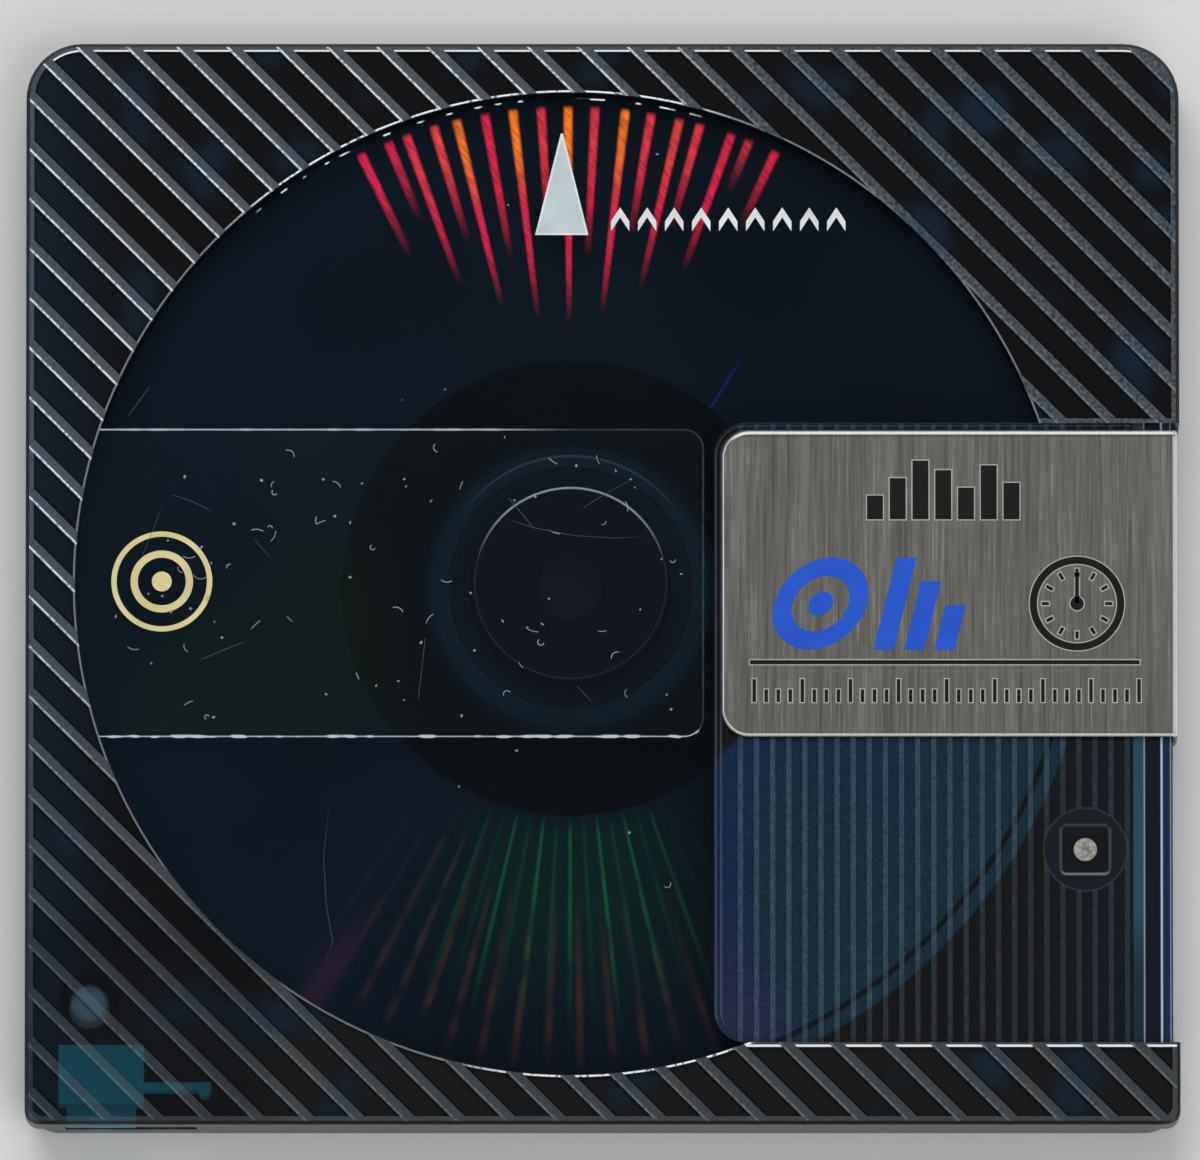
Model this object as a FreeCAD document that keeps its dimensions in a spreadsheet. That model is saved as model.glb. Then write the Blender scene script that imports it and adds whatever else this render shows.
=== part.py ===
import FreeCAD, Part
import os
import re

import Sketcher

# Recordable disc cartridge: two welded shells, a sliding metal shutter with its plastic guide and lock,
# a write-protect tab, and the disc with its recording film and steel clamping plate.
# Millimetres. The origin is on the disc's axis at the underside, +X points at the shutter's side,
# +Y at the end that goes into the player and +Z at the label side.

SIZES = {
    # Shells
    "body_height": 5.0,
    "side_room": 2.0,
    "slot_room": 4.0,
    "split_height": 2.5,
    "front_corner": 3.5,
    "rear_corner": 0.9,
    "lower_rear_corner": 2.2,
    "edge_bevel": 0.22,
    "side_wall": 1.3,
    "roof_thickness": 1.0,
    "floor_thickness": 1.0,
    "pocket_wall": 0.75,
    # Disc and what rides on it
    "disc_radius": 32.0,
    "disc_thickness": 1.2,
    "disc_hole": 5.5,
    "disc_margin": 0.7,
    "disc_lift": 0.05,
    "film_inner": 14.3,
    "film_margin": 1.1,
    "film_thickness": 0.06,
    "clamp_radius": 7.5,
    "clamp_thickness": 0.4,
    "clamp_gap": 0.1,
    "clamp_step_radius": 6.1,
    "clamp_step_rise": 0.3,
    "clamp_bend": 0.2,
    "spindle_hole": 2.0,
    # Hub of the shells
    "hub_opening": 8.5,
    "rest_ring_inner": 9.3,
    "rest_ring_width": 1.0,
    "rest_ring_height": 0.25,
    "stop_ring_inner": 8.4,
    "stop_ring_width": 0.6,
    "stop_ring_gap": 0.4,
    # Label side
    "rim_width": 0.5,
    "dome_margin": 1.15,
    "dome_band": 0.2,
    "bar_pitch": 2.213,
    "bar_width": 0.65,
    "bar_phase": 4.2,
    "bar_angle": 45.0,
    "groove_depth": 0.3,
    "label_gap": 0.69,
    "label_corner": 1.2,
    "label_depth": 0.12,
    "dish_radius": 6.0,
    "dish_depth": 0.08,
    # Shutter and its recess
    "shutter_width": 19.3,
    "shutter_reach": 28.6,
    "shutter_corner": 1.75,
    "shutter_sheet": 0.25,
    "shutter_bend": 0.35,
    "shutter_chamfer": 0.12,
    "shutter_sink": 0.05,
    "shutter_inset": 0.15,
    "shutter_travel": 18.8,
    "recess_depth": 0.5,
    "recess_left_gap": 0.43,
    "recess_end_gap": 0.4,
    "recess_corner": 2.0,
    "recess_lip": 0.3,
    "web_gap": 0.05,
    "window_margin": 2.6,
    "window_inset": 3.0,
    "window_overlap": 0.95,
    "ridge_inset": 1.46,
    "ridge_pitch": 1.005,
    "ridge_width": 0.33,
    "ridge_height": 0.1,
    # Gate mark in the recess
    "gate_inset": 5.9,
    "gate_reach": 8.0,
    "gate_patch": 2.6,
    "gate_square": 3.04,
    "gate_sink": 0.2,
    "gate_pip": 0.73,
    "gate_pip_height": 0.15,
    # Slot for the shutter's guide and the player's opener
    "slot_mouth": 1.2,
    "slot_mouth_depth": 1.14,
    "slot_head": 1.9,
    "slot_head_depth": 1.06,
    "rail_width": 3.8,
    "guide_gap": 0.1,
    "guide_inset": 0.35,
    "guide_nose": 2.95,
    "catch_depth": 0.4,
    "catch_length": 1.0,
    "catch_from_tip": 0.8,
    "opener_cut": 4.2,
    # Shutter lock
    "lock_inset": 0.8,
    "lock_reach": 7.9,
    "lock_pin": 0.6,
    "lock_pin_gap": 0.05,
    "lock_hub": 1.3,
    "lock_shoulder": 1.1,
    "lock_shoulder_height": 0.5,
    "lock_thickness": 1.8,
    "lock_arm": 1.0,
    "lock_claw": 0.6,
    "lock_leaf": 0.3,
    "lock_leaf_length": 6.0,
    "lock_leaf_gap": 0.4,
    "lock_arm_gap": 0.3,
    "lock_room": 0.8,
    "lock_end_room": 0.5,
    "lock_wall": 0.3,
    "lock_well_depth": 1.1,
    # Write-protect tab
    "tab_inset": 2.1,
    "tab_length": 5.3,
    "tab_depth": 3.7,
    "tab_gap": 0.1,
    "tab_travel": 3.7,
    "tab_nose_length": 4.3,
    "tab_nose_height": 1.6,
    "tab_nose_sink": 0.15,
    "tab_arm_length": 4.2,
    "tab_arm_width": 0.5,
    "tab_arm_height": 2.0,
    "tab_arm_inset": 1.0,
    "tab_bump": 0.4,
    "notch_gap": 0.1,
    "sensing_hole": 1.1,
    "sensing_inset": 1.5,
    # Locating holes and weld boss
    "locator_inset": 4.0,
    "locator_rear": 7.6,
    "locator_radius": 1.3,
    "locator_slot_inset": 11.8,
    "locator_slot_rear": 3.6,
    "locator_slot_length": 1.0,
    "boss_inset": 12.2,
    "boss_front": 4.2,
    "boss_radius": 1.2,
}

# Places that several pieces share, worked out from the sizes
FRONT = "(disc_radius + side_room)"
LEFT = FRONT
RIGHT = "(disc_radius + side_room + slot_room)"
BEYOND = "(2 * disc_radius)"
CEILING = "(body_height - roof_thickness)"
CHAMBER = "(disc_radius + disc_margin)"
DISC_SEAT = "(floor_thickness + rest_ring_height + disc_lift)"
DISC_TOP = f"({DISC_SEAT} + disc_thickness)"
DOME = "(disc_radius - dome_margin)"
BARS_HALF = f"ceil(({RIGHT} + {FRONT}) / sqrt(2) / bar_pitch)"
SHUTTER_LEFT = f"({RIGHT} - shutter_reach)"
RECESS_LEFT = f"({SHUTTER_LEFT} - recess_left_gap)"
RECESS_FRONT = "(shutter_width / 2 + recess_end_gap)"
RECESS_REAR = "(shutter_width / 2 + shutter_travel + recess_end_gap)"
SHUTTER_RIGHT = f"({RIGHT} - shutter_inset)"
WEB_INSIDE = f"({SHUTTER_RIGHT} - shutter_sheet)"
RECESS_SIDE = f"({WEB_INSIDE} - web_gap)"
SLOT_NECK = f"({RIGHT} - slot_mouth_depth)"
SLOT_BACK = f"({SLOT_NECK} - slot_head_depth)"
RAIL = f"({RIGHT} - rail_width)"
LABEL_END = f"({RECESS_LEFT} - label_gap)"
WINDOW_HALF = "(shutter_width / 2 - window_overlap)"
WINDOW_LEFT = f"({SHUTTER_LEFT} + window_margin)"
WINDOW_RIGHT = f"({RIGHT} - window_inset)"
RIDGE_LEFT = f"({RECESS_LEFT} + ridge_inset)"
GATE_ACROSS = f"({RIGHT} - gate_inset)"
GATE_ALONG = f"(0 - {WINDOW_HALF} - gate_reach)"
GUIDE_TIP = "(shutter_width / 2 + guide_nose)"
LOCK_ACROSS = f"({RAIL} - lock_inset)"
LOCK_ALONG = f"({GUIDE_TIP} + lock_reach)"
LOCK_WELL_FRONT = f"({LOCK_ALONG} + lock_hub + lock_end_room)"
POCKET_LINE = f"(sqrt(2) * ({CHAMBER} + pocket_wall))"
TAB_REAR = f"({FRONT} - side_wall)"
TAB_LEFT = f"(tab_inset - {LEFT})"
TAB_ROOM = "(tab_length + tab_travel + 3 * tab_gap)"
LOCATOR_SLOT_ACROSS = f"({RIGHT} - locator_slot_inset)"
LOCATOR_SLOT_ALONG = f"(locator_slot_rear - {FRONT})"
BOSS = (f"{RIGHT} - boss_inset", f"{FRONT} - boss_front")
NEAR = 1e-4


def bound(text):
    """The expression with every size's name pointed at the sheet."""
    return re.sub(r"[a-z_]+", lambda word: "Sizes." * (word[0] in SIZES) + word[0], text)


def value_of(text):
    """The present value of an expression."""
    return float(sheet.evalExpression(bound(text)))


def new_body(label):
    """An empty body with its label."""
    body = doc.addObject("PartDesign::Body", label)
    body.Label = label
    return body


def lift(body, height):
    """Bind the height of a body's own origin to the sheet."""
    body.setExpression("Placement.Base.z", bound(height))


class Plan:
    """A sketch on one of its body's origin planes, whose points are all bound to the sheet."""

    def __init__(self, body, name, height="0", plane="XY_Plane"):
        self.sketch = body.newObject("Sketcher::SketchObject", name)
        support = next(item for item in body.Origin.OriginFeatures if item.Role == plane)
        self.sketch.AttachmentSupport = [(support, "")]
        self.sketch.MapMode = "FlatFace"
        self.sketch.setExpression("AttachmentOffset.Base.z", bound(height))

    def _fix(self, geometry, point, across, along):
        """Hold one point of the sketch at its two bound distances from the origin."""
        for kind, text in (("DistanceX", across), ("DistanceY", along)):
            number = self.sketch.addConstraint(Sketcher.Constraint(kind, -1, 1, geometry, point, 1.0))
            self.sketch.setExpression(f"Constraints[{number}]", bound(text))

    def polygon(self, corners):
        """A closed outline of straight lines through the corners, given as pairs of expressions."""
        first = self.sketch.GeometryCount
        count = len(corners)
        spots = [
            FreeCAD.Rotation(FreeCAD.Vector(0, 0, 1), 360 * turn / count).multVec(FreeCAD.Vector(1, 0, 0))
            for turn in range(count)
        ]
        for turn in range(count):
            self.sketch.addGeometry(Part.LineSegment(spots[turn], spots[(turn + 1) % count]), False)
        for turn in range(count):
            ahead = first + (turn + 1) % count
            self.sketch.addConstraint(Sketcher.Constraint("Coincident", first + turn, 2, ahead, 1))
        for turn, (across, along) in enumerate(corners):
            self._fix(first + turn, 1, across, along)
        return self

    def box(self, left, rear, right, front):
        """A rectangle between two opposite corners."""
        return self.polygon([(left, rear), (right, rear), (right, front), (left, front)])

    def circle(self, radius, across="0", along="0"):
        """A circle with its centre and radius bound."""
        number = self.sketch.addGeometry(Part.Circle(), False)
        self._fix(number, 3, across, along)
        hold = self.sketch.addConstraint(Sketcher.Constraint("Radius", number, 1.0))
        self.sketch.setExpression(f"Constraints[{hold}]", bound(radius))
        return self


def raised(body, name, plan, height, downward=False, both_ways=False):
    """Raise a plan into a solid and add it to the body."""
    feature = body.newObject("PartDesign::Pad", name)
    feature.Profile = plan.sketch
    feature.Reversed = downward
    if both_ways:
        feature.SideType = "Symmetric"
    feature.setExpression("Length", bound(height))
    return feature


def sunk(body, name, plan, depth):
    """Cut a plan down into the body, from the plan's own height."""
    feature = body.newObject("PartDesign::Pocket", name)
    feature.Profile = plan.sketch
    feature.setExpression("Length", bound(depth))
    return feature


def turned(body, name, plan):
    """Turn a section once round the body's upright axis."""
    feature = body.newObject("PartDesign::Revolution", name)
    feature.Profile = plan.sketch
    feature.ReferenceAxis = (plan.sketch, ["V_Axis"])
    feature.Angle = 360
    return feature


def row_of(body, name, original, direction, spacing, count):
    """Repeat a feature in a straight row."""
    feature = body.newObject("PartDesign::LinearPattern", name)
    feature.Originals = [original]
    feature.Direction = direction
    feature.Mode = "Spacing"
    feature.setExpression("Offset", bound(spacing))
    feature.setExpression("Occurrences", bound(count))
    body.Tip = feature
    return feature


def edges_where(feature, test):
    """Names of the feature's edges whose bounding boxes pass the test."""
    doc.recompute()
    edges = enumerate(feature.Shape.Edges, start=1)
    return [f"Edge{number}" for number, edge in edges if test(edge.BoundBox)]


def upright_at(feature, across, along):
    """Names of the upright edges nearest the given spot, which may be several in one line."""
    doc.recompute()
    found = {}
    for number, edge in enumerate(feature.Shape.Edges, start=1):
        box = edge.BoundBox
        if box.XLength < NEAR and box.YLength < NEAR:
            away = abs(box.XMin - across) + abs(box.YMin - along)
            found.setdefault(round(away, 3), []).append(f"Edge{number}")
    return found[min(found)]


def rounded(body, name, feature, edges, radius):
    """Round the named edges of a feature."""
    result = body.newObject("PartDesign::Fillet", name)
    result.Base = (feature, edges)
    result.setExpression("Radius", bound(radius))
    return result


def bevelled(body, name, feature, edges, size):
    """Bevel the named edges of a feature."""
    result = body.newObject("PartDesign::Chamfer", name)
    result.Base = (feature, edges)
    result.setExpression("Size", bound(size))
    return result


def outer_block(body, low, high, rear_radius, rim_level):
    """The shell's outline as a block, with round corners and a bevelled outer edge."""
    plan = Plan(body, body.Label + "_outline", low)
    plan.box(f"-{LEFT}", f"-{FRONT}", RIGHT, FRONT)
    block = raised(body, body.Label + "_block", plan, f"{high} - {low}")
    doc.recompute()
    box = block.Shape.BoundBox
    front = [upright_at(block, side, box.YMax)[0] for side in (box.XMin, box.XMax)]
    block = rounded(body, body.Label + "_front_corners", block, front, "front_corner")
    rear = [upright_at(block, side, box.YMin)[0] for side in (box.XMin, box.XMax)]
    block = rounded(body, body.Label + "_rear_corners", block, rear, rear_radius)
    doc.recompute()
    level = getattr(box, rim_level)
    rim = edges_where(block, lambda edge: abs(edge.ZMin - level) + abs(edge.ZMax - level) < NEAR)
    return bevelled(body, body.Label + "_edge", block, rim, "edge_bevel")


def corner_pocket(plan, side, end, wall_across):
    """A three-sided pocket in one corner, whose long side runs past the disc chamber."""
    reach = f"({FRONT} - side_wall)"
    plan.polygon(
        [
            (f"{side} * {wall_across}", f"{end} * {reach}"),
            (f"{side} * {wall_across}", f"{end} * ({POCKET_LINE} - {wall_across})"),
            (f"{side} * ({POCKET_LINE} - {reach})", f"{end} * {reach}"),
        ]
    )


def hollow(body, top, floor):
    """The disc chamber, the corner pockets and the wells for lock and tab, open towards the split."""
    name = body.Label
    depth = f"{top} - {floor}"
    sunk(body, name + "_chamber", Plan(body, name + "_chamber_plan", top).circle(CHAMBER), depth)
    left_wall = f"({LEFT} - side_wall)"
    for corner, side, end, wall in (
        ("front_left", "-1", "1", left_wall),
        ("front_right", "1", "1", RAIL),
        ("rear_right", "1", "-1", RAIL),
    ):
        plan = Plan(body, f"{name}_{corner}_plan", top)
        corner_pocket(plan, side, end, wall)
        sunk(body, f"{name}_{corner}_pocket", plan, depth)
    tab_front = f"(tab_depth + 2 * tab_gap - {TAB_REAR})"
    well = Plan(body, name + "_tab_well_plan", top)
    well.box(f"{TAB_LEFT} - tab_gap", f"-{TAB_REAR}", f"{TAB_LEFT} - tab_gap + {TAB_ROOM}", tab_front)
    sunk(body, name + "_tab_well", well, depth)


def tab_slots(body, half_up):
    """The nose's slot in the rear wall, the leaf arm's run and its two detent notches."""
    name = body.Label
    top = f"(split_height + {half_up} * (tab_nose_height / 2 + tab_gap))"
    nose_left = f"({TAB_LEFT} + (tab_length - tab_nose_length) / 2 - tab_gap)"
    plan = Plan(body, name + "_nose_plan", top)
    nose_end = f"({nose_left} + tab_nose_length + tab_travel + 2 * tab_gap)"
    plan.box(nose_left, f"-{BEYOND}", nose_end, f"-{TAB_REAR}")
    sunk(body, name + "_nose_slot", plan, "tab_nose_height / 2 + tab_gap")
    arm_top = f"(split_height + {half_up} * (tab_arm_height / 2 + tab_gap))"
    arm_end = f"({TAB_LEFT} + tab_length + tab_arm_length)"
    arm_low = f"(tab_arm_inset - {TAB_REAR} - tab_bump - tab_gap)"
    plan = Plan(body, name + "_arm_plan", arm_top)
    well_right = f"({TAB_LEFT} - tab_gap + {TAB_ROOM})"
    arm_high = f"(tab_arm_inset - {TAB_REAR} + tab_arm_width + 2 * tab_gap)"
    plan.box(f"{well_right} - tab_travel", arm_low, f"{arm_end} + tab_travel + 2 * tab_gap", arm_high)
    sunk(body, name + "_arm_run", plan, "tab_arm_height / 2 + tab_gap")
    for spot, shift in (("rest", "0"), ("set", "tab_travel")):
        plan = Plan(body, f"{name}_notch_{spot}_plan", arm_top)
        plan.circle("tab_bump + notch_gap", f"{arm_end} - tab_bump + {shift}", f"{arm_low} + tab_bump")
        sunk(body, f"{name}_notch_{spot}", plan, "tab_arm_height / 2 + tab_gap")


def shutter_track(body, half_up, low, high):
    """The side step, the through window and the T-shaped slot that carries the shutter's guide."""
    name = body.Label
    plan = Plan(body, name + "_side_plan", high)
    plan.box(RECESS_SIDE, f"-{RECESS_REAR}", BEYOND, RECESS_FRONT)
    sunk(body, name + "_side_step", plan, f"{high} - {low}")
    plan = Plan(body, name + "_window_plan", high)
    plan.box(WINDOW_LEFT, f"-{WINDOW_HALF}", WINDOW_RIGHT, WINDOW_HALF)
    sunk(body, name + "_window", plan, f"{high} - {low}")
    plan = Plan(body, name + "_mouth_plan", f"split_height + {half_up} * slot_mouth / 2")
    plan.box(SLOT_NECK, f"-{RECESS_REAR}", BEYOND, BEYOND)
    sunk(body, name + "_slot_mouth", plan, "slot_mouth / 2")
    plan = Plan(body, name + "_head_plan", f"split_height + {half_up} * slot_head / 2")
    plan.box(SLOT_BACK, f"-{RECESS_REAR}", SLOT_NECK, LOCK_WELL_FRONT)
    sunk(body, name + "_slot_head", plan, "slot_head / 2")
    plan = Plan(body, name + "_lock_plan", f"split_height + {half_up} * lock_well_depth")
    plan.box(f"{LOCK_ACROSS} - lock_room", f"{RECESS_FRONT} + lock_wall", SLOT_NECK, LOCK_WELL_FRONT)
    sunk(body, name + "_lock_well", plan, "lock_well_depth")


def recess(body, height, depth):
    """The step that the shutter's sheet slides in, with its two round inner corners."""
    name = body.Label
    plan = Plan(body, name + "_recess_plan", height)
    plan.box(RECESS_LEFT, f"-{RECESS_REAR}", BEYOND, RECESS_FRONT)
    cut = sunk(body, name + "_recess", plan, depth)
    front = upright_at(cut, value_of(RECESS_LEFT), value_of(RECESS_FRONT))
    rear = upright_at(cut, value_of(RECESS_LEFT), -value_of(RECESS_REAR))
    return rounded(body, name + "_recess_corners", cut, front + rear, "recess_corner")


def make_upper_shell():
    """The label-side shell, ribbed outside its clear round window."""
    body = new_body("upper_blank")
    outer_block(body, "split_height", "body_height", "rear_corner", "ZMax")
    recess(body, "body_height", "recess_depth")
    ridge_foot = "(body_height - recess_depth)"
    plan = Plan(body, "ridge_plan", ridge_foot)
    plan.box(RIDGE_LEFT, f"-{RECESS_REAR}", f"{RIDGE_LEFT} + ridge_width", RECESS_FRONT)
    ridge = raised(body, "ridge", plan, "ridge_height")
    doc.recompute()
    count = f"floor(({WINDOW_RIGHT} - {RIDGE_LEFT}) / ridge_pitch) + 1"
    row_of(body, "ridges", ridge, (plan.sketch, ["H_Axis"]), "ridge_pitch", count)
    hollow(body, CEILING, "split_height")
    shutter_track(body, "1", "split_height", "body_height")
    tab_slots(body, "1")
    patch = Plan(body, "gate_patch_plan", f"{ridge_foot} + ridge_height")
    patch.circle("gate_patch", GATE_ACROSS, GATE_ALONG)
    sunk(body, "gate_patch_cut", patch, "ridge_height")
    square = Plan(body, "gate_square_plan", ridge_foot)
    square.box(
        f"{GATE_ACROSS} - gate_square / 2",
        f"{GATE_ALONG} - gate_square / 2",
        f"{GATE_ACROSS} + gate_square / 2",
        f"{GATE_ALONG} + gate_square / 2",
    )
    sunk(body, "gate_square_cut", square, "gate_sink")
    pip = Plan(body, "gate_pip_plan", f"{ridge_foot} - gate_sink")
    raised(body, "gate_pip_up", pip.circle("gate_pip", GATE_ACROSS, GATE_ALONG), "gate_pip_height")
    ring = Plan(body, "stop_ring_plan", CEILING)
    ring.circle("stop_ring_inner").circle("stop_ring_inner + stop_ring_width")
    raised(body, "stop_ring", ring, f"{CEILING} - {DISC_TOP} - stop_ring_gap", downward=True)
    dish = Plan(body, "dish_plan", "body_height").circle("dish_radius")
    sunk(body, "dish", dish, "label_depth + dish_depth")
    boss = Plan(body, "upper_boss_plan", CEILING).circle("boss_radius", *BOSS)
    raised(body, "upper_boss", boss, f"{CEILING} - split_height", downward=True)
    blank = doc.addObject("Part::Cut", "label_cut")
    blank.Base = body
    blank.Tool = label_recess()
    shell = doc.addObject("Part::Cut", "upper_shell")
    shell.Base = blank
    shell.Tool = slanted_grooves()
    return shell


def label_recess():
    """The shallow label step: a band across the round window, with two round corners at its right end."""
    body = new_body("label_band")
    plan = Plan(body, "label_plan", "body_height - label_depth")
    plan.box(f"-{BEYOND}", "-shutter_width / 2", LABEL_END, "shutter_width / 2")
    band = raised(body, "label_pad", plan, "label_depth")
    end = value_of(LABEL_END)
    half = SIZES["shutter_width"] / 2
    corners = upright_at(band, end, half) + upright_at(band, end, -half)
    rounded(body, "label_corners", band, corners, "label_corner")
    circle = doc.addObject("Part::Cylinder", "dome_disc")
    circle.setExpression("Radius", bound(DOME))
    circle.setExpression("Height", bound("body_height * 2"))
    common = doc.addObject("Part::Common", "label_step")
    common.Base = body
    common.Tool = circle
    return common


def slanted_grooves():
    """The grooves between the slanted ribs: a row of bars, kept only where the face is ribbed."""
    bars = new_body("groove_bars")
    foot = "body_height - groove_depth"
    plan = Plan(bars, "bar_plan", foot)
    plan.sketch.AttachmentOffset = FreeCAD.Placement(
        FreeCAD.Vector(0, 0, 0), FreeCAD.Rotation(FreeCAD.Vector(0, 0, 1), SIZES["bar_angle"])
    )
    plan.sketch.setExpression("AttachmentOffset.Base.z", bound(foot))
    start = f"(bar_phase + bar_width - bar_pitch * ({BARS_HALF} + 1))"
    plan.box(start, f"-{BEYOND}", f"{start} + bar_pitch - bar_width", BEYOND)
    bar = raised(bars, "bar", plan, "groove_depth")
    doc.recompute()
    row_of(bars, "bar_row", bar, (plan.sketch, ["H_Axis"]), "bar_pitch", f"2 * {BARS_HALF}")
    field = new_body("ribbed_field")
    plan = Plan(field, "field_plan", foot)
    plan.box(
        f"rim_width - {LEFT}",
        f"rim_width - {FRONT}",
        f"{RIGHT} - rim_width",
        f"{FRONT} - rim_width",
    )
    face = raised(field, "field", plan, "groove_depth")
    doc.recompute()
    box = face.Shape.BoundBox
    front = [upright_at(face, side, box.YMax)[0] for side in (box.XMin, box.XMax)]
    face = rounded(field, "field_front", face, front, "front_corner - rim_width")
    rear = [upright_at(face, side, box.YMin)[0] for side in (box.XMin, box.XMax)]
    rounded(field, "field_rear", face, rear, "rear_corner - rim_width / 2")
    dome = Plan(field, "dome_plan", "body_height").circle(f"{DOME} + dome_band")
    sunk(field, "dome_cut", dome, "groove_depth")
    clear = Plan(field, "clear_plan", "body_height")
    clear.box(
        f"{RECESS_LEFT} - recess_lip",
        f"-{RECESS_REAR} - recess_lip",
        BEYOND,
        f"{RECESS_FRONT} + recess_lip",
    )
    sunk(field, "clear_cut", clear, "groove_depth")
    grooves = doc.addObject("Part::Common", "grooves")
    grooves.Base = bars
    grooves.Tool = field
    return grooves


def make_lower_shell():
    """The underside shell with the hub opening, the locating holes and the lock's pin."""
    body = new_body("lower_shell")
    outer_block(body, "0", "split_height", "lower_rear_corner", "ZMin")
    recess(body, "recess_depth", "recess_depth")
    hollow(body, "split_height", "floor_thickness")
    shutter_track(body, "0", "0", "split_height")
    tab_slots(body, "0")
    hub = Plan(body, "hub_plan", "floor_thickness").circle("hub_opening")
    sunk(body, "hub_cut", hub, "floor_thickness")
    ring = Plan(body, "rest_ring_plan", "floor_thickness")
    ring.circle("rest_ring_inner").circle("rest_ring_inner + rest_ring_width")
    raised(body, "rest_ring", ring, "rest_ring_height")
    hole = Plan(body, "locator_plan", "split_height")
    hole.circle("locator_radius", f"locator_inset - {LEFT}", f"locator_rear - {FRONT}")
    sunk(body, "locator", hole, "split_height")
    locator_slot(body)
    sensing = Plan(body, "sensing_plan", "floor_thickness")
    sensing.circle("sensing_hole", f"{TAB_LEFT} + sensing_inset", f"tab_depth / 2 - {TAB_REAR}")
    sunk(body, "sensing_cut", sensing, "floor_thickness")
    boss = Plan(body, "lower_boss_plan", "floor_thickness").circle("boss_radius", *BOSS)
    raised(body, "lower_boss", boss, "split_height - floor_thickness")
    shoulder = Plan(body, "lock_shoulder_plan", "floor_thickness")
    shoulder.circle("lock_shoulder", LOCK_ACROSS, LOCK_ALONG)
    raised(body, "lock_shoulder_up", shoulder, "lock_shoulder_height")
    pin = Plan(body, "lock_pin_plan", "floor_thickness").circle("lock_pin", LOCK_ACROSS, LOCK_ALONG)
    raised(body, "lock_pin_up", pin, "split_height - floor_thickness + lock_well_depth")
    return body


def locator_slot(body):
    """The long locating hole: a straight cut with a round hole at each end."""
    side_reach = "locator_slot_length / 2"
    plan = Plan(body, "locator_slot_plan", "floor_thickness")
    plan.box(
        f"{LOCATOR_SLOT_ACROSS} - {side_reach}",
        f"{LOCATOR_SLOT_ALONG} - locator_radius",
        f"{LOCATOR_SLOT_ACROSS} + {side_reach}",
        f"{LOCATOR_SLOT_ALONG} + locator_radius",
    )
    sunk(body, "locator_slot", plan, "floor_thickness")
    for end, sign in (("left", "-"), ("right", "+")):
        plan = Plan(body, f"locator_{end}_plan", "floor_thickness")
        plan.circle("locator_radius", f"{LOCATOR_SLOT_ACROSS} {sign} {side_reach}", LOCATOR_SLOT_ALONG)
        sunk(body, f"locator_{end}", plan, "floor_thickness")


def make_shutter():
    """The folded metal shutter: one sheet round the side, with bevelled edges and round corners."""
    body = new_body("shutter")
    low = "shutter_sink"
    high = "(body_height - shutter_sink)"
    plan = Plan(body, "shutter_section", "0", "XZ_Plane").box(SHUTTER_LEFT, low, SHUTTER_RIGHT, high)
    block = raised(body, "shutter_block", plan, "shutter_width", both_ways=True)
    doc.recompute()
    box = block.Shape.BoundBox
    folds = edges_where(block, lambda edge: edge.XMin > box.XMax - NEAR and edge.ZLength < NEAR)
    block = rounded(body, "shutter_folds", block, folds, "shutter_bend")
    corners = upright_at(block, box.XMin, box.YMin) + upright_at(block, box.XMin, box.YMax)
    block = rounded(body, "shutter_corners", block, corners, "shutter_corner")
    plan = Plan(body, "shutter_inside_plan", f"{high} - shutter_sheet")
    plan.box("0", f"-{BEYOND}", WEB_INSIDE, BEYOND)
    inside = sunk(body, "shutter_inside", plan, f"{high} - {low} - 2 * shutter_sheet")
    doc.recompute()
    rims = edges_where(
        inside,
        lambda edge: (edge.ZMin > box.ZMax - NEAR or edge.ZMax < box.ZMin + NEAR)
        and edge.XMin < box.XMin + SIZES["shutter_corner"] + NEAR,
    )
    bevelled(body, "shutter_bevel", inside, rims, "shutter_chamfer")
    plan = Plan(body, "opener_plan", "split_height + slot_mouth / 2")
    plan.box(WEB_INSIDE, "shutter_width / 2 - opener_cut", BEYOND, BEYOND)
    sunk(body, "opener_notch", plan, "slot_mouth")
    return body


def make_shutter_guide():
    """The plastic guide on the shutter: a T that runs in the slot, with the catch in its nose."""
    body = new_body("shutter_guide")
    rear = "(guide_inset - shutter_width / 2)"
    thick = "(slot_head - 2 * guide_gap)"
    top = f"split_height + {thick} / 2"
    plan = Plan(body, "guide_head_plan", top)
    plan.box(f"{SLOT_BACK} + guide_gap", rear, f"{SLOT_NECK} - guide_gap", GUIDE_TIP)
    raised(body, "guide_head", plan, thick, downward=True)
    neck = "(slot_mouth - 2 * guide_gap)"
    plan = Plan(body, "guide_neck_plan", f"split_height + {neck} / 2")
    plan.box(f"{SLOT_NECK} - guide_gap", rear, WEB_INSIDE, "shutter_width / 2 - opener_cut")
    raised(body, "guide_neck", plan, neck, downward=True)
    plan = Plan(body, "catch_plan", top)
    catch_front = f"({GUIDE_TIP} - catch_from_tip)"
    catch_right = f"{SLOT_BACK} + guide_gap + catch_depth"
    plan.box("0", f"{catch_front} - catch_length", catch_right, catch_front)
    sunk(body, "catch", plan, thick)
    return body


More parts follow.
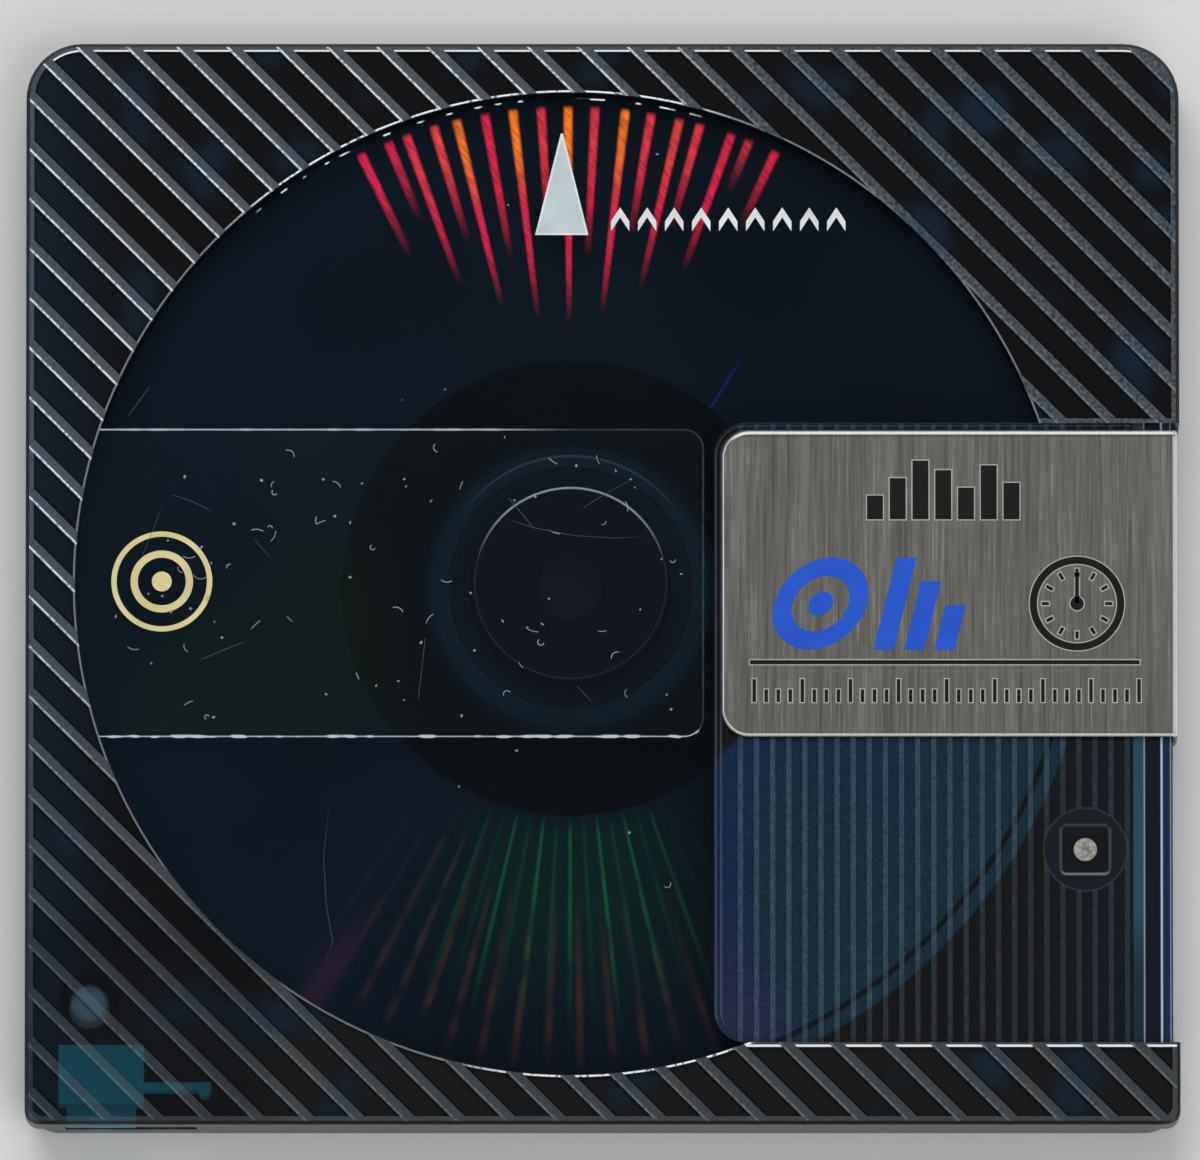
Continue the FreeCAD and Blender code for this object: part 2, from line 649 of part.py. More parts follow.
def make_shutter_lock():
    """The moulded lock lever: a hub on its pin, an arm with claw and release nib, and a leaf spring."""
    body = new_body("shutter_lock")
    top = "(floor_thickness + lock_shoulder_height + guide_gap + lock_thickness)"
    arm_right = f"({SLOT_BACK} - lock_arm_gap)"
    arm_left = f"({arm_right} - lock_arm)"
    claw_along = f"({GUIDE_TIP} - catch_from_tip - catch_length / 2)"
    arm_end = f"({claw_along} - lock_claw)"
    knee = f"({GUIDE_TIP} + 2 * lock_arm)"
    plan = Plan(body, "lock_hub_plan", top).circle("lock_hub", LOCK_ACROSS, LOCK_ALONG)
    raised(body, "lock_hub_disc", plan, "lock_thickness", downward=True)
    plan = Plan(body, "lock_arm_plan", top)
    plan.polygon(
        [
            (f"{LOCK_ACROSS} - lock_arm / 2", LOCK_ALONG),
            (arm_left, knee),
            (arm_left, arm_end),
            (arm_right, arm_end),
            (arm_right, knee),
            (f"{LOCK_ACROSS} + lock_arm / 2", LOCK_ALONG),
        ]
    )
    raised(body, "lock_arm_bar", plan, "lock_thickness", downward=True)
    plan = Plan(body, "lock_claw_plan", top)
    plan.polygon(
        [
            (arm_left, f"{claw_along} - lock_claw / 2"),
            (SLOT_BACK, f"{claw_along} - lock_claw / 2"),
            (SLOT_BACK, claw_along),
            (arm_left, f"{claw_along} + lock_claw"),
        ]
    )
    raised(body, "lock_claw_hook", plan, "lock_thickness", downward=True)
    nib_along = f"({GUIDE_TIP} + lock_claw)"
    plan = Plan(body, "lock_nib_plan", top)
    plan.box(arm_left, nib_along, f"{SLOT_NECK} - guide_gap", f"{nib_along} + lock_claw")
    raised(body, "lock_nib", plan, "lock_thickness", downward=True)
    plan = Plan(body, "lock_leaf_plan", top)
    leaf_right = f"({RAIL} - lock_leaf_gap)"
    plan.polygon(
        [
            (f"{LOCK_ACROSS} - lock_leaf / 2", LOCK_ALONG),
            (f"{LOCK_ACROSS} + lock_leaf / 2", LOCK_ALONG),
            (leaf_right, f"{LOCK_ALONG} + lock_leaf_length"),
            (f"{leaf_right} - lock_leaf", f"{LOCK_ALONG} + lock_leaf_length"),
        ]
    )
    raised(body, "lock_leaf_blade", plan, "lock_thickness", downward=True)
    plan = Plan(body, "lock_bore_plan", top).circle("lock_pin + lock_pin_gap", LOCK_ACROSS, LOCK_ALONG)
    sunk(body, "lock_bore", plan, "lock_thickness")
    return body


def make_tab():
    """The write-protect tab: a block with a finger nose, and a leaf arm that ends in a detent bump."""
    body = new_body("write_protect_tab")
    right = f"({TAB_LEFT} + tab_length)"
    rear = f"(tab_gap - {TAB_REAR})"
    plan = Plan(body, "tab_plan", "floor_thickness + tab_gap")
    plan.box(TAB_LEFT, rear, right, f"{rear} + tab_depth")
    raised(body, "tab_block", plan, f"{CEILING} - floor_thickness - 2 * tab_gap")
    nose_left = f"({TAB_LEFT} + (tab_length - tab_nose_length) / 2)"
    plan = Plan(body, "nose_plan", "split_height - tab_nose_height / 2")
    plan.box(nose_left, f"tab_nose_sink - {FRONT}", f"{nose_left} + tab_nose_length", rear)
    raised(body, "nose", plan, "tab_nose_height")
    foot = "split_height - tab_arm_height / 2"
    arm_rear = f"(tab_arm_inset - {TAB_REAR})"
    plan = Plan(body, "arm_plan", foot)
    plan.box(right, arm_rear, f"{right} + tab_arm_length", f"{arm_rear} + tab_arm_width")
    raised(body, "arm", plan, "tab_arm_height")
    plan = Plan(body, "bump_plan", foot)
    plan.circle("tab_bump", f"{right} + tab_arm_length - tab_bump", arm_rear)
    raised(body, "bump", plan, "tab_arm_height")
    return body


def make_disc():
    """The clear disc, with a seat for the clamping plate."""
    body = new_body("disc")
    seat = "clamp_radius + clamp_gap"
    plan = Plan(body, "disc_section", "0", "XZ_Plane")
    plan.polygon(
        [
            ("disc_hole", "0"),
            ("disc_radius", "0"),
            ("disc_radius", "disc_thickness"),
            (seat, "disc_thickness"),
            (seat, "disc_thickness - clamp_thickness"),
            ("disc_hole", "disc_thickness - clamp_thickness"),
        ]
    )
    turned(body, "disc_turned", plan)
    lift(body, DISC_SEAT)
    return body


def make_recording_layer():
    """The recording film, a thin ring on the disc's upper face."""
    body = new_body("recording_layer")
    plan = Plan(body, "film_plan", "0")
    plan.circle("film_inner").circle("disc_radius - film_margin")
    raised(body, "film_ring", plan, "film_thickness")
    lift(body, DISC_TOP)
    return body


def make_clamping_plate():
    """The pressed steel plate in the disc's centre, with its raised middle and the spindle's hole."""
    body = new_body("clamping_plate")
    plan = Plan(body, "clamp_section", "0", "XZ_Plane")
    plan.polygon(
        [
            ("spindle_hole", "clamp_step_rise"),
            ("clamp_step_radius - clamp_bend", "clamp_step_rise"),
            ("clamp_step_radius", "0"),
            ("clamp_radius", "0"),
            ("clamp_radius", "clamp_thickness"),
            ("clamp_step_radius + clamp_bend", "clamp_thickness"),
            ("clamp_step_radius", "clamp_thickness + clamp_step_rise"),
            ("spindle_hole", "clamp_thickness + clamp_step_rise"),
        ]
    )
    turned(body, "clamp_turned", plan)
    lift(body, f"{DISC_TOP} - clamp_thickness")
    return body


def check(parts):
    """Stop if any object of the document failed, or a part's shape is empty or broken."""
    for thing in doc.Objects:
        if "Invalid" in thing.State or "Error" in thing.State:
            raise RuntimeError(f"{thing.Label} failed: {thing.State}")
    for thing in parts:
        if thing.Shape.isNull() or not thing.Shape.isValid() or len(thing.Shape.Solids) != 1:
            raise RuntimeError(f"{thing.Label} is not one whole solid")


doc = FreeCAD.newDocument("cartridge")
sheet = doc.addObject("Spreadsheet::Sheet", "Sizes")
for line, (alias, number) in enumerate(SIZES.items(), start=1):
    sheet.set(f"A{line}", alias)
    sheet.set(f"B{line}", str(number))
    sheet.setAlias(f"B{line}", alias)
doc.recompute()
parts = [
    make_upper_shell(),
    make_lower_shell(),
    make_shutter(),
    make_shutter_guide(),
    make_shutter_lock(),
    make_disc(),
    make_recording_layer(),
    make_clamping_plate(),
    make_tab(),
]
doc.recompute()
check(parts)
os.makedirs("parts", exist_ok=True)
for part in parts:
    part.Shape.exportStep(f"parts/{part.Label}.step")
    print(part.Label, round(part.Shape.Volume, 2), len(part.Shape.Faces))
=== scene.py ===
import logging
import math
from dataclasses import dataclass
from enum import Enum
from functools import cached_property
from typing import Any

import bpy
import numpy as np
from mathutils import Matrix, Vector


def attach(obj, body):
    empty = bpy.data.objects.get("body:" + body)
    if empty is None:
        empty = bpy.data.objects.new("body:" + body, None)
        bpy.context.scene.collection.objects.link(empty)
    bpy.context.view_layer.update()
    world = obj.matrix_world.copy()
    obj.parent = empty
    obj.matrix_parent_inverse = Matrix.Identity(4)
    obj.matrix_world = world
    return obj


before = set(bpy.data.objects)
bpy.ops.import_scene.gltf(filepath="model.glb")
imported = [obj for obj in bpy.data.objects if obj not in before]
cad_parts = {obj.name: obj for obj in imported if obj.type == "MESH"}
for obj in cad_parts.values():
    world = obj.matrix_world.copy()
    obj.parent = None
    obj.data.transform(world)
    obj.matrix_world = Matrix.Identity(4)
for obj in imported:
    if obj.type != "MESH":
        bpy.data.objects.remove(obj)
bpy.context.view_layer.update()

# Looks of the recordable disc cartridge: smoke-tinted shells with slanted ribs, a brushed steel shutter,
# the disc with its film, and the marks printed on the label face. Sizes are in millimetres.

log = logging.getLogger("cartridge")

MILLIMETRE = 0.001
ROOT_TWO = math.sqrt(2)


def node_box(node: str) -> tuple[list[float], list[float]]:
    """Measure a node of the frame.

    Args:
        node: its name.

    Returns:
        Its lowest and its highest coordinates in millimetres, to four places.
    """
    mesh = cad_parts[node].data
    points = np.empty(3 * len(mesh.vertices), np.float32)
    mesh.vertices.foreach_get("co", points)
    points = (points.reshape(-1, 3).astype(float) / MILLIMETRE).round(4)
    return points.min(axis=0).tolist(), points.max(axis=0).tolist()


# The upper shell gives the sides and the label face. The other sizes of the solids that the finishes and the
# marks need are repeated here.
SHELL_LOW, SHELL_HIGH = node_box("upper_shell")
LABEL_FACE = SHELL_HIGH[2]
LABEL_STEP_FLOOR = LABEL_FACE - 0.12
DISH_FLOOR = LABEL_FACE - 0.2
SHUTTER_FACE = LABEL_FACE - 0.05
FRONT_CORNER = 3.5
UPPER_REAR_CORNER = 0.9
LOWER_REAR_CORNER = 2.2
DISH_RADIUS = 6.0
DOME_RADIUS = 30.85
RIB_PITCH = 2.213
RIB_WIDTH = 0.65
RIB_START = 4.2

# How thick a print is, how many corners a printed ring has, and the smallest hole in its middle.
PRINT_THICKNESS = 0.012
RING_CORNERS = 72
SMALLEST_HOLE = 0.02

Colour = tuple[float, float, float, float]
Coat = tuple["Signal | float", Any]


def display(red: float, green: float, blue: float) -> Colour:
    """Turn a display colour into a linear one.

    Args:
        red, green, blue: its parts, from 0 to 255.

    Returns:
        The linear colour, with an alpha of 1.
    """
    parts = np.array([red, green, blue]) / 255
    linear = np.where(parts > 0.04045, ((parts + 0.055) / 1.055) ** 2.4, parts / 12.92)
    return (*linear.tolist(), 1.0)


class Paint:
    """The node tree of one material."""

    def __init__(self, name: str) -> None:
        """Start an empty node tree.

        Args:
            name: the material's name.
        """
        self.material = bpy.data.materials.new(name)
        self.material.use_nodes = True
        self.tree = self.material.node_tree
        self.tree.nodes.clear()

    def node(
        self, kind: str, settings: dict[str, Any] | None = None, inputs: dict[Any, Any] | None = None
    ) -> bpy.types.Node:
        """Add a node.

        Args:
            kind: the node's type.
            settings: its settings, set before anything is fed to it.
            inputs: values, signals or sockets, by the name or number of the socket that they go to.

        Returns:
            The new node.
        """
        made = self.tree.nodes.new(kind)
        for name, setting in (settings or {}).items():
            if name == "stops":
                self._set_stops(made.color_ramp, setting)
            else:
                setattr(made, name, setting)
        for key, value in (inputs or {}).items():
            source = value.socket if isinstance(value, Signal) else value
            if isinstance(source, bpy.types.NodeSocket):
                self.tree.links.new(source, made.inputs[key])
            else:
                made.inputs[key].default_value = source
        return made

    def _set_stops(self, ramp: bpy.types.ColorRamp, stops: list[tuple[float, Colour]]) -> None:
        """Give a ramp its stops, each of them valid up to the next one.

        Args:
            ramp: the ramp, which has two stops to begin with.
            stops: position and colour of each stop.
        """
        ramp.interpolation = "CONSTANT"
        for _ in stops[len(ramp.elements) :]:
            ramp.elements.new(1.0)
        for element, (position, colour) in zip(ramp.elements, stops):
            element.position = position
            element.color = colour

    @cached_property
    def place(self) -> tuple["Signal", "Signal", "Signal"]:
        """Read the surface point's place.

        Returns:
            Its three coordinates in millimetres.
        """
        point = self.node("ShaderNodeTexCoord").outputs["Object"]
        settings = {"operation": "SCALE"}
        scaled = self.node("ShaderNodeVectorMath", settings, {0: point, "Scale": 1 / MILLIMETRE})
        apart = self.node("ShaderNodeSeparateXYZ", None, {0: scaled.outputs[0]})
        across, along, up = (Signal(self, socket) for socket in apart.outputs)
        return across, along, up

    @cached_property
    def radius(self) -> "Signal":
        """The surface point's distance from the disc's axis."""
        x, y, _ = self.place
        return (x * x + y * y).root()

    def noise(
        self, across: "Signal", along: "Signal", up: "Signal | float" = 0.0, detail: float = 0.0
    ) -> "Signal":
        """Make soft noise, one cell to each unit.

        Args:
            across, along, up: the point where it is read.
            detail: how many finer layers lie on it.

        Returns:
            A signal from 0 to 1.
        """
        point = self.node("ShaderNodeCombineXYZ", None, {0: across, 1: along, 2: up})
        inputs = {"Vector": point.outputs[0], "Scale": 1.0, "Detail": detail}
        return Signal(self, self.node("ShaderNodeTexNoise", None, inputs).outputs[0])

    def mix(self, factor: "Signal | float", first: Any, second: Any) -> bpy.types.NodeSocket:
        """A colour between two colours, the first where the factor is 0."""
        settings = {"data_type": "RGBA"}
        return self.node("ShaderNodeMix", settings, {0: factor, 6: first, 7: second}).outputs[2]

    def coated(self, base: Any, *coats: Coat) -> bpy.types.NodeSocket:
        """Lay colours over a base.

        Args:
            base: the colour below.
            coats: for each, a signal from 0 to 1 that says where it lies, and its colour, the lowest first.

        Returns:
            The colour on top.
        """
        for factor, colour in coats:
            base = self.mix(factor, base, colour)
        return base

    def looked_up(self, value: "Signal", rows: list[tuple[float, Colour]]) -> list["Signal"]:
        """Look a value up in a table.

        Args:
            value: the signal to look up, from 0 to 1.
            rows: where each row begins, and its three numbers in the form of a colour.

        Returns:
            The row's three numbers.
        """
        ramp = self.node("ShaderNodeValToRGB", {"stops": rows}, {0: value})
        parts = self.node("ShaderNodeSeparateColor", None, {0: ramp.outputs[0]})
        return [Signal(self, socket) for socket in parts.outputs]

    def scaled(self, colour: Any, amount: "Signal | float") -> bpy.types.NodeSocket:
        """A colour made brighter or darker by a signal."""
        inputs = {0: colour[:3] if isinstance(colour, tuple) else colour, "Scale": amount}
        return self.node("ShaderNodeVectorMath", {"operation": "SCALE"}, inputs).outputs[0]

    def bump(self, height: "Signal", depth: float, strength: float) -> bpy.types.NodeSocket:
        """The surface's normal, tilted by a height of the given depth in millimetres."""
        inputs = {"Height": height, "Distance": depth * MILLIMETRE, "Strength": strength}
        return self.node("ShaderNodeBump", None, inputs).outputs[0]

    def surface(self, **inputs: Any) -> bpy.types.NodeSocket:
        """A Principled shader whose sockets are named with underscores for spaces."""
        named = {name.replace("_", " "): value for name, value in inputs.items()}
        return self.node("ShaderNodeBsdfPrincipled", None, named).outputs[0]

    def clear(self, tint: Colour) -> bpy.types.NodeSocket:
        """A shader that shows what is behind, through a tint."""
        return self.node("ShaderNodeBsdfTransparent", None, {0: tint}).outputs[0]

    def layered(self, factor: "Signal | float", behind: Any, front: Any) -> bpy.types.NodeSocket:
        """Two shaders mixed, the second one where the factor is 1."""
        return self.node("ShaderNodeMixShader", None, {0: factor, 1: behind, 2: front}).outputs[0]

    def finished(self, shader: bpy.types.NodeSocket) -> bpy.types.Material:
        """The material, with the shader as its surface."""
        self.node("ShaderNodeOutputMaterial", None, {"Surface": shader})
        return self.material


class Signal:
    """A number that changes over a surface; its operators add Math nodes."""

    def __init__(self, paint: Paint, socket: bpy.types.NodeSocket) -> None:
        """Wrap a socket of a paint's node tree."""
        self.paint = paint
        self.socket = socket

    def _math(self, operation: str, *values: Any) -> "Signal":
        """The result of one Math node."""
        node = self.paint.node("ShaderNodeMath", {"operation": operation}, dict(enumerate(values)))
        return Signal(self.paint, node.outputs[0])

    def __add__(self, other: "Signal | float") -> "Signal":
        """The sum."""
        return self._math("ADD", self, other)

    __radd__ = __add__

    def __sub__(self, other: "Signal | float") -> "Signal":
        """The difference."""
        return self._math("SUBTRACT", self, other)

    def __rsub__(self, other: float) -> "Signal":
        """The difference from a number."""
        return self._math("SUBTRACT", other, self)

    def __mul__(self, other: "Signal | float") -> "Signal":
        """The product."""
        return self._math("MULTIPLY", self, other)

    __rmul__ = __mul__

    def __truediv__(self, other: "Signal | float") -> "Signal":
        """The quotient."""
        return self._math("DIVIDE", self, other)

    def __neg__(self) -> "Signal":
        """The same with the other sign."""
        return self * -1.0

    def __abs__(self) -> "Signal":
        """The size without its sign."""
        return self._math("ABSOLUTE", self)

    def root(self) -> "Signal":
        """The square root."""
        return self._math("SQRT", self)

    def fraction(self) -> "Signal":
        """What is left over the whole number below."""
        return self._math("FRACT", self)

    def at_least(self, other: "Signal | float") -> "Signal":
        """The larger of two values."""
        return self._math("MAXIMUM", self, other)

    def at_most(self, other: "Signal | float") -> "Signal":
        """The smaller of two values."""
        return self._math("MINIMUM", self, other)

    def turn(self, along: "Signal") -> "Signal":
        """Degrees from +Y towards +X of the point whose X is this signal and whose Y is the other."""
        return self._math("ARCTAN2", self, along) * math.degrees(1)

    def step(self, low: float, high: float) -> "Signal":
        """Make a soft step.

        Args:
            low: the value where it is 0.
            high: the value where it is 1, which may be the smaller one.

        Returns:
            The step.
        """
        settings = {"interpolation_type": "SMOOTHSTEP"}
        values = {"Value": self, "From Min": low, "From Max": high}
        return Signal(self.paint, self.paint.node("ShaderNodeMapRange", settings, values).outputs[0])

    def line(self, middle: float, width: float, blur: float = 0.03) -> "Signal":
        """1 within half a width of the middle value and 0 beyond."""
        return abs(self - middle).step(width / 2 + blur, width / 2 - blur)


@dataclass(frozen=True)
class RoundBox:
    """A rectangle with round corners, seen from above.

    Attributes:
        left, rear, right, front: its sides.
        corner: the radius of its corners, which may change over the surface.
    """

    left: float
    rear: float
    right: float
    front: float
    corner: "float | Signal"

    def distance(self, across: Signal, along: Signal) -> Signal:
        """Work out how far a point is from the outline.

        Args:
            across, along: the point.

        Returns:
            The distance, below 0 inside.
        """
        wide = abs(across - (self.left + self.right) / 2) - ((self.right - self.left) / 2 - self.corner)
        deep = abs(along - (self.rear + self.front) / 2) - ((self.front - self.rear) / 2 - self.corner)
        wide_out = wide.at_least(0.0)
        deep_out = deep.at_least(0.0)
        outside = (wide_out * wide_out + deep_out * deep_out).root()
        return outside + wide.at_least(deep).at_most(0.0) - self.corner


def rim_gap(across: Signal, along: Signal, rear_corner: float) -> Signal:
    """Distance inwards from a shell's outline, whose rear corners have the given radius."""
    corner = rear_corner + (FRONT_CORNER - rear_corner) * along.step(-1.0, 1.0)
    return -RoundBox(*SHELL_LOW[:2], *SHELL_HIGH[:2], corner).distance(across, along)


@dataclass(frozen=True)
class Spot:
    """A round place on the label face.

    Attributes:
        across, along: its middle.
        reach: its radius.
    """

    across: float
    along: float
    reach: float

    def away(self, across: Signal, along: Signal) -> Signal:
        """Work out how far a point is from the spot's middle.

        Args:
            across, along: the point.

        Returns:
            The distance.
        """
        side = across - self.across
        ahead = along - self.along
        return (side * side + ahead * ahead).root()

    def mask(self, across: Signal, along: Signal, soft: float = 0.1) -> Signal:
        """1 on the spot and 0 beyond."""
        return self.away(across, along).step(self.reach + soft, self.reach - soft)


# Outlines and spots on the label face. A side well past the shell's stands for one that runs out of it.
LABEL_STEP = RoundBox(-45.0, -9.65, 8.28, 9.65, 1.2)
RECESS = RoundBox(8.97, -28.85, 50.0, 10.05, 2.0)
SHUTTER = RoundBox(9.4, -9.65, 60.0, 9.65, 1.75)
GATE_SQUARE = RoundBox(30.58, -18.22, 33.62, -15.18, 0.35)
GATE = Spot(32.1, -16.7, 2.6)
LOCATING_HOLE = Spot(-30.0, -26.4, 1.15)
LIGHT_SPOTS = (Spot(25.8, 29.8, 1.5), Spot(36.4, 26.0, 0.9), Spot(26.2, -30.4, 1.1))


@dataclass(frozen=True)
class SmokeUpper:
    """Smoke-tinted clear plastic of the label side: polished over the disc, frosted on the ribs.

    Attributes:
        tint: what a pass through one surface does to the light behind.
        edge_glint: the colour of the light along sharp edges.
        rib_level: the height that parts the ribs from the grooves.
        ridge_level: the height that parts the recess's ridges from its floor.
        dome_edge: the radius of the light along the outer edge of the window's rim.
        window_edge: the radius of the light along its inner edge.
        strip_edge: the place along of the light at the recess's rear.
        gleam_angle: degrees from +Y towards -X of the middle of the light on the window's rim.
    """

    tint: Colour = (0.86, 0.91, 0.94, 1.0)
    edge_glint: Colour = display(232, 236, 238)
    rib_level: float = 4.8
    ridge_level: float = 4.545
    dome_edge: float = 31.0
    window_edge: float = 30.5
    strip_edge: float = -29.08
    gleam_angle: float = 12.0

    def ribbed(self, paint: Paint, inwards: Signal) -> bpy.types.NodeSocket:
        """Make the ribs and grooves, with painted highlights on the ribs' lower edges and at groove ends.

        Args:
            paint: the material's nodes.
            inwards: distance inwards from the shell's outline.

        Returns:
            The shader.
        """
        x, y, z = paint.place
        radius = paint.radius
        rib = z.step(self.rib_level - 0.04, self.rib_level + 0.04)
        share = RIB_WIDTH / RIB_PITCH
        phase = (((x + y) / ROOT_TWO - RIB_START) / RIB_PITCH).fraction()
        groove = phase.step(share - 0.01, share + 0.02)
        grain = paint.noise(x * 4.2, y * 4.2, z * 4.2)
        # The blue is a random tone, bluer to the left, with painted light seen through at LIGHT_SPOTS.
        blue = paint.noise(x * 0.24, y * 0.24).step(0.56, 0.86)
        blue = blue.at_least(x.step(-27.0, -34.5) * 0.6)
        for spot in LIGHT_SPOTS:
            blue = blue.at_least(spot.mask(x, y, 0.8))
        lit = y.step(-16.0, 2.0) * x.step(13.0, 0.0)
        angle = abs(x.turn(y) + self.gleam_angle)
        dash_zone = angle.step(34.0, 22.0).at_least(angle.step(150.0, 165.0))
        # Painted highlights: the light along the ribs' lower edges and the dashes at the grooves' ends.
        shine = phase.line(0.04, 0.05, 0.02) * (0.1 + lit * 0.72) * (0.4 + 0.6 * grain.step(0.3, 0.55))
        rim_dash = inwards.line(0.47, 0.1) * groove * y.step(32.5, 33.0)
        uneven = 0.12 + 0.78 * dash_zone * grain.step(0.3, 0.42)
        dome_dash = radius.line(self.dome_edge, 0.13) * groove * uneven
        strip_dash = y.line(self.strip_edge, 0.14) * x.step(4.0, 9.0) * groove * 0.85
        shine = shine.at_least(rim_dash).at_least(dome_dash).at_least(strip_dash) * rib
        shadow = phase.line(share + 0.035, 0.06, 0.02).at_least(phase.line(0.985, 0.03, 0.015) * (1 - lit))

        below = paint.coated(
            display(4, 6, 10),
            (y.step(-18.0, -28.0), display(15, 17, 20)),
            (blue, display(12, 29, 45)),
            (shadow, display(3, 3, 5)),
        )
        # Ribs painted darker towards the rear as painted shade, and darker and grainier at the right front.
        rough_zone = x.step(-4.0, 12.0) * y.step(-12.0, 0.0)
        tone = 0.62 + 0.38 * y.step(-26.0, 8.0) - 0.14 * rough_zone
        tone = tone * (1 + (grain - 0.5) * (0.5 + 1.4 * rough_zone))
        above = paint.mix(blue, display(70, 75, 79), display(48, 70, 88))

        # Painted light: the floor seen through the locating hole as a pale spot, with a dark ring round it.
        hole_away = LOCATING_HOLE.away(x, y)
        hole = hole_away.step(1.3, 0.95)
        hole_light = hole * (0.62 + rib * 0.2 + hole_away.step(0.8, 0.6) * 0.18)
        base = paint.coated(
            below,
            (rib, paint.scaled(above, tone)),
            (shine, self.edge_glint),
            (hole_away.step(2.0, 1.8) * (1 - rib), display(6, 7, 9)),
            (hole_light, display(58, 80, 96)),
        )
        front = paint.surface(Base_Color=base, Roughness=0.28 + rib * 0.27, Specular_IOR_Level=0.09)
        seen_through = x.step(-17.0, -21.0) * y.step(-19.0, -23.0) * (0.42 - rib * 0.1)
        solid = (1 - seen_through).at_least(shine).at_least(hole * 0.85)
        return paint.layered(solid, paint.clear(self.tint), front)

    def polished(self, paint: Paint) -> bpy.types.NodeSocket:
        """Make the clear round window, with the label step and the dish.

        Args:
            paint: the material's nodes.

        Returns:
            The shader.
        """
        x, y, _ = paint.place
        radius = paint.radius
        highlight_breakup = paint.noise(x * 1.1, y * 1.1)
        green_light_cloud = paint.noise(x * 0.09 + 5.0, y * 0.05)
        label_gap = LABEL_STEP.distance(x, y)
        label = label_gap.step(0.0, -0.05)
        dish = radius.step(DISH_RADIUS + 0.05, DISH_RADIUS - 0.05)
        angle = abs(x.turn(y))
        rear = y.step(-9.0, -9.5)
        # Painted highlights: bright lines on the label step's edges, round the dish and on the window's rim.
        line_reach = 0.045 + highlight_breakup.step(0.45, 0.66) * (0.02 + rear * 0.05)
        label_line = (abs(label_gap) - line_reach).step(0.03, -0.03)
        label_line = label_line * (0.22 + 0.62 * rear.at_least(y.step(9.4, 9.6) * x.step(1.0, -6.0)))
        hub_line = radius.line(DISH_RADIUS, 0.1, 0.05) * (0.03 + 0.65 * angle.step(80.0, 35.0))
        hub_line = hub_line.at_least(radius.line(8.0, 0.1, 0.08) * angle.step(70.0, 20.0) * 0.12)
        dash_zone = abs(x.turn(y) + self.gleam_angle).step(34.0, 22.0)
        dome_line = radius.line(self.window_edge, 0.11) * dash_zone * highlight_breakup.step(0.5, 0.6)
        line = label_line.at_least(hub_line).at_least(dome_line)
        # Painted reflection: the film's green light in random clouds on the label step's left part.
        green_light = green_light_cloud.step(0.45, 0.62) * x.step(-8.0, -16.0)
        base = paint.coated(
            display(10, 16, 24),
            (label, paint.mix(green_light, display(15, 24, 32), display(20, 36, 22))),
            (dish, display(4, 13, 21)),
            (line, display(206, 220, 230)),
        )
        solid = (0.12 + label * 0.2 + dish * 0.56).at_least(line)
        front = paint.surface(Base_Color=base, Roughness=0.08, Specular_IOR_Level=0.14)
        return paint.layered(solid, paint.clear(self.tint), front)

    def film_reflections(self, paint: Paint) -> bpy.types.NodeSocket:
        """Painted reflections on the film through the recess: blue, violet at the rear, teal to the right.

        Args:
            paint: the material's nodes.

        Returns:
            The colour.
        """
        x, y, _ = paint.place
        cloud = paint.noise(x * 0.12 + 7.0, y * 0.06)
        violet = y.step(-19.0, -29.0) * x.step(19.0, 10.0)
        left = paint.mix(violet, display(11, 33, 68), display(31, 35, 66))
        teal = (x.step(8.0, 21.0) + (cloud - 0.5) * 1.6).step(0.2, 0.8)
        return paint.mix(teal, left, display(10, 39, 54))

    def recessed(self, paint: Paint) -> bpy.types.NodeSocket:
        """Make the shutter's recess with its fine ridges, the gate mark and the channel at the side.

        Args:
            paint: the material's nodes.

        Returns:
            The shader.
        """
        x, y, z = paint.place
        radius = paint.radius
        ridge = z.step(self.ridge_level - 0.025, self.ridge_level + 0.025)
        grain = paint.noise(x * 5.0, y * 5.0, z)
        disc = radius.step(32.65, 32.4) * radius.step(14.1, 14.5)
        ground = paint.coated(
            display(10, 8, 8),
            (x.step(27.0, 34.0), display(6, 12, 20)),
            (disc, self.film_reflections(paint)),
            (radius.line(31.5, 0.34, 0.06), display(3, 5, 8)),
        )
        ridges = paint.mix(0.07 + disc * 0.05, ground, display(118, 152, 178))
        gap = RECESS.distance(x, y)
        # Painted highlights: two pale lines along the recess's edge, except at its rear.
        recess_edge_highlight = (gap.line(-0.1, 0.1, 0.04) * 0.5).at_least(gap.line(-0.42, 0.1, 0.05) * 0.35)
        base = paint.coated(
            paint.scaled(paint.mix(ridge, ground, ridges), 0.5 + grain * 0.7),
            (recess_edge_highlight * y.step(-28.0, -27.0), display(92, 104, 122)),
            self.channel(paint),
            *self.gate_mark(paint, grain),
            self.channel_lines(paint),
        )
        return paint.surface(Base_Color=base, Roughness=0.3, Specular_IOR_Level=0.12)

    def channel(self, paint: Paint) -> Coat:
        """Make the dark blue channel at the shell's right side, with a paler band in it.

        Args:
            paint: the material's nodes.

        Returns:
            Where it lies, and its colour.
        """
        x, y, _ = paint.place
        navy = paint.mix(x.step(36.8, 36.95), display(6, 12, 26), display(17, 33, 62))
        band = x.step(35.05, 35.15) * x.step(35.8, 35.7) * (0.3 + 0.7 * y.step(-25.0, -20.0))
        return x.step(35.0, 35.1), paint.mix(band, navy, display(36, 66, 82))

    def channel_lines(self, paint: Paint) -> Coat:
        """Make the three painted highlights along the channel.

        Args:
            paint: the material's nodes.

        Returns:
            Where they lie, and their colour.
        """
        x, _, _ = paint.place
        bright = (x.line(35.78, 0.08, 0.04) * 0.4).at_least(x.line(36.86, 0.12, 0.04) * 0.7)
        return bright.at_least(x.line(37.42, 0.06, 0.04) * 0.4), display(190, 206, 224)

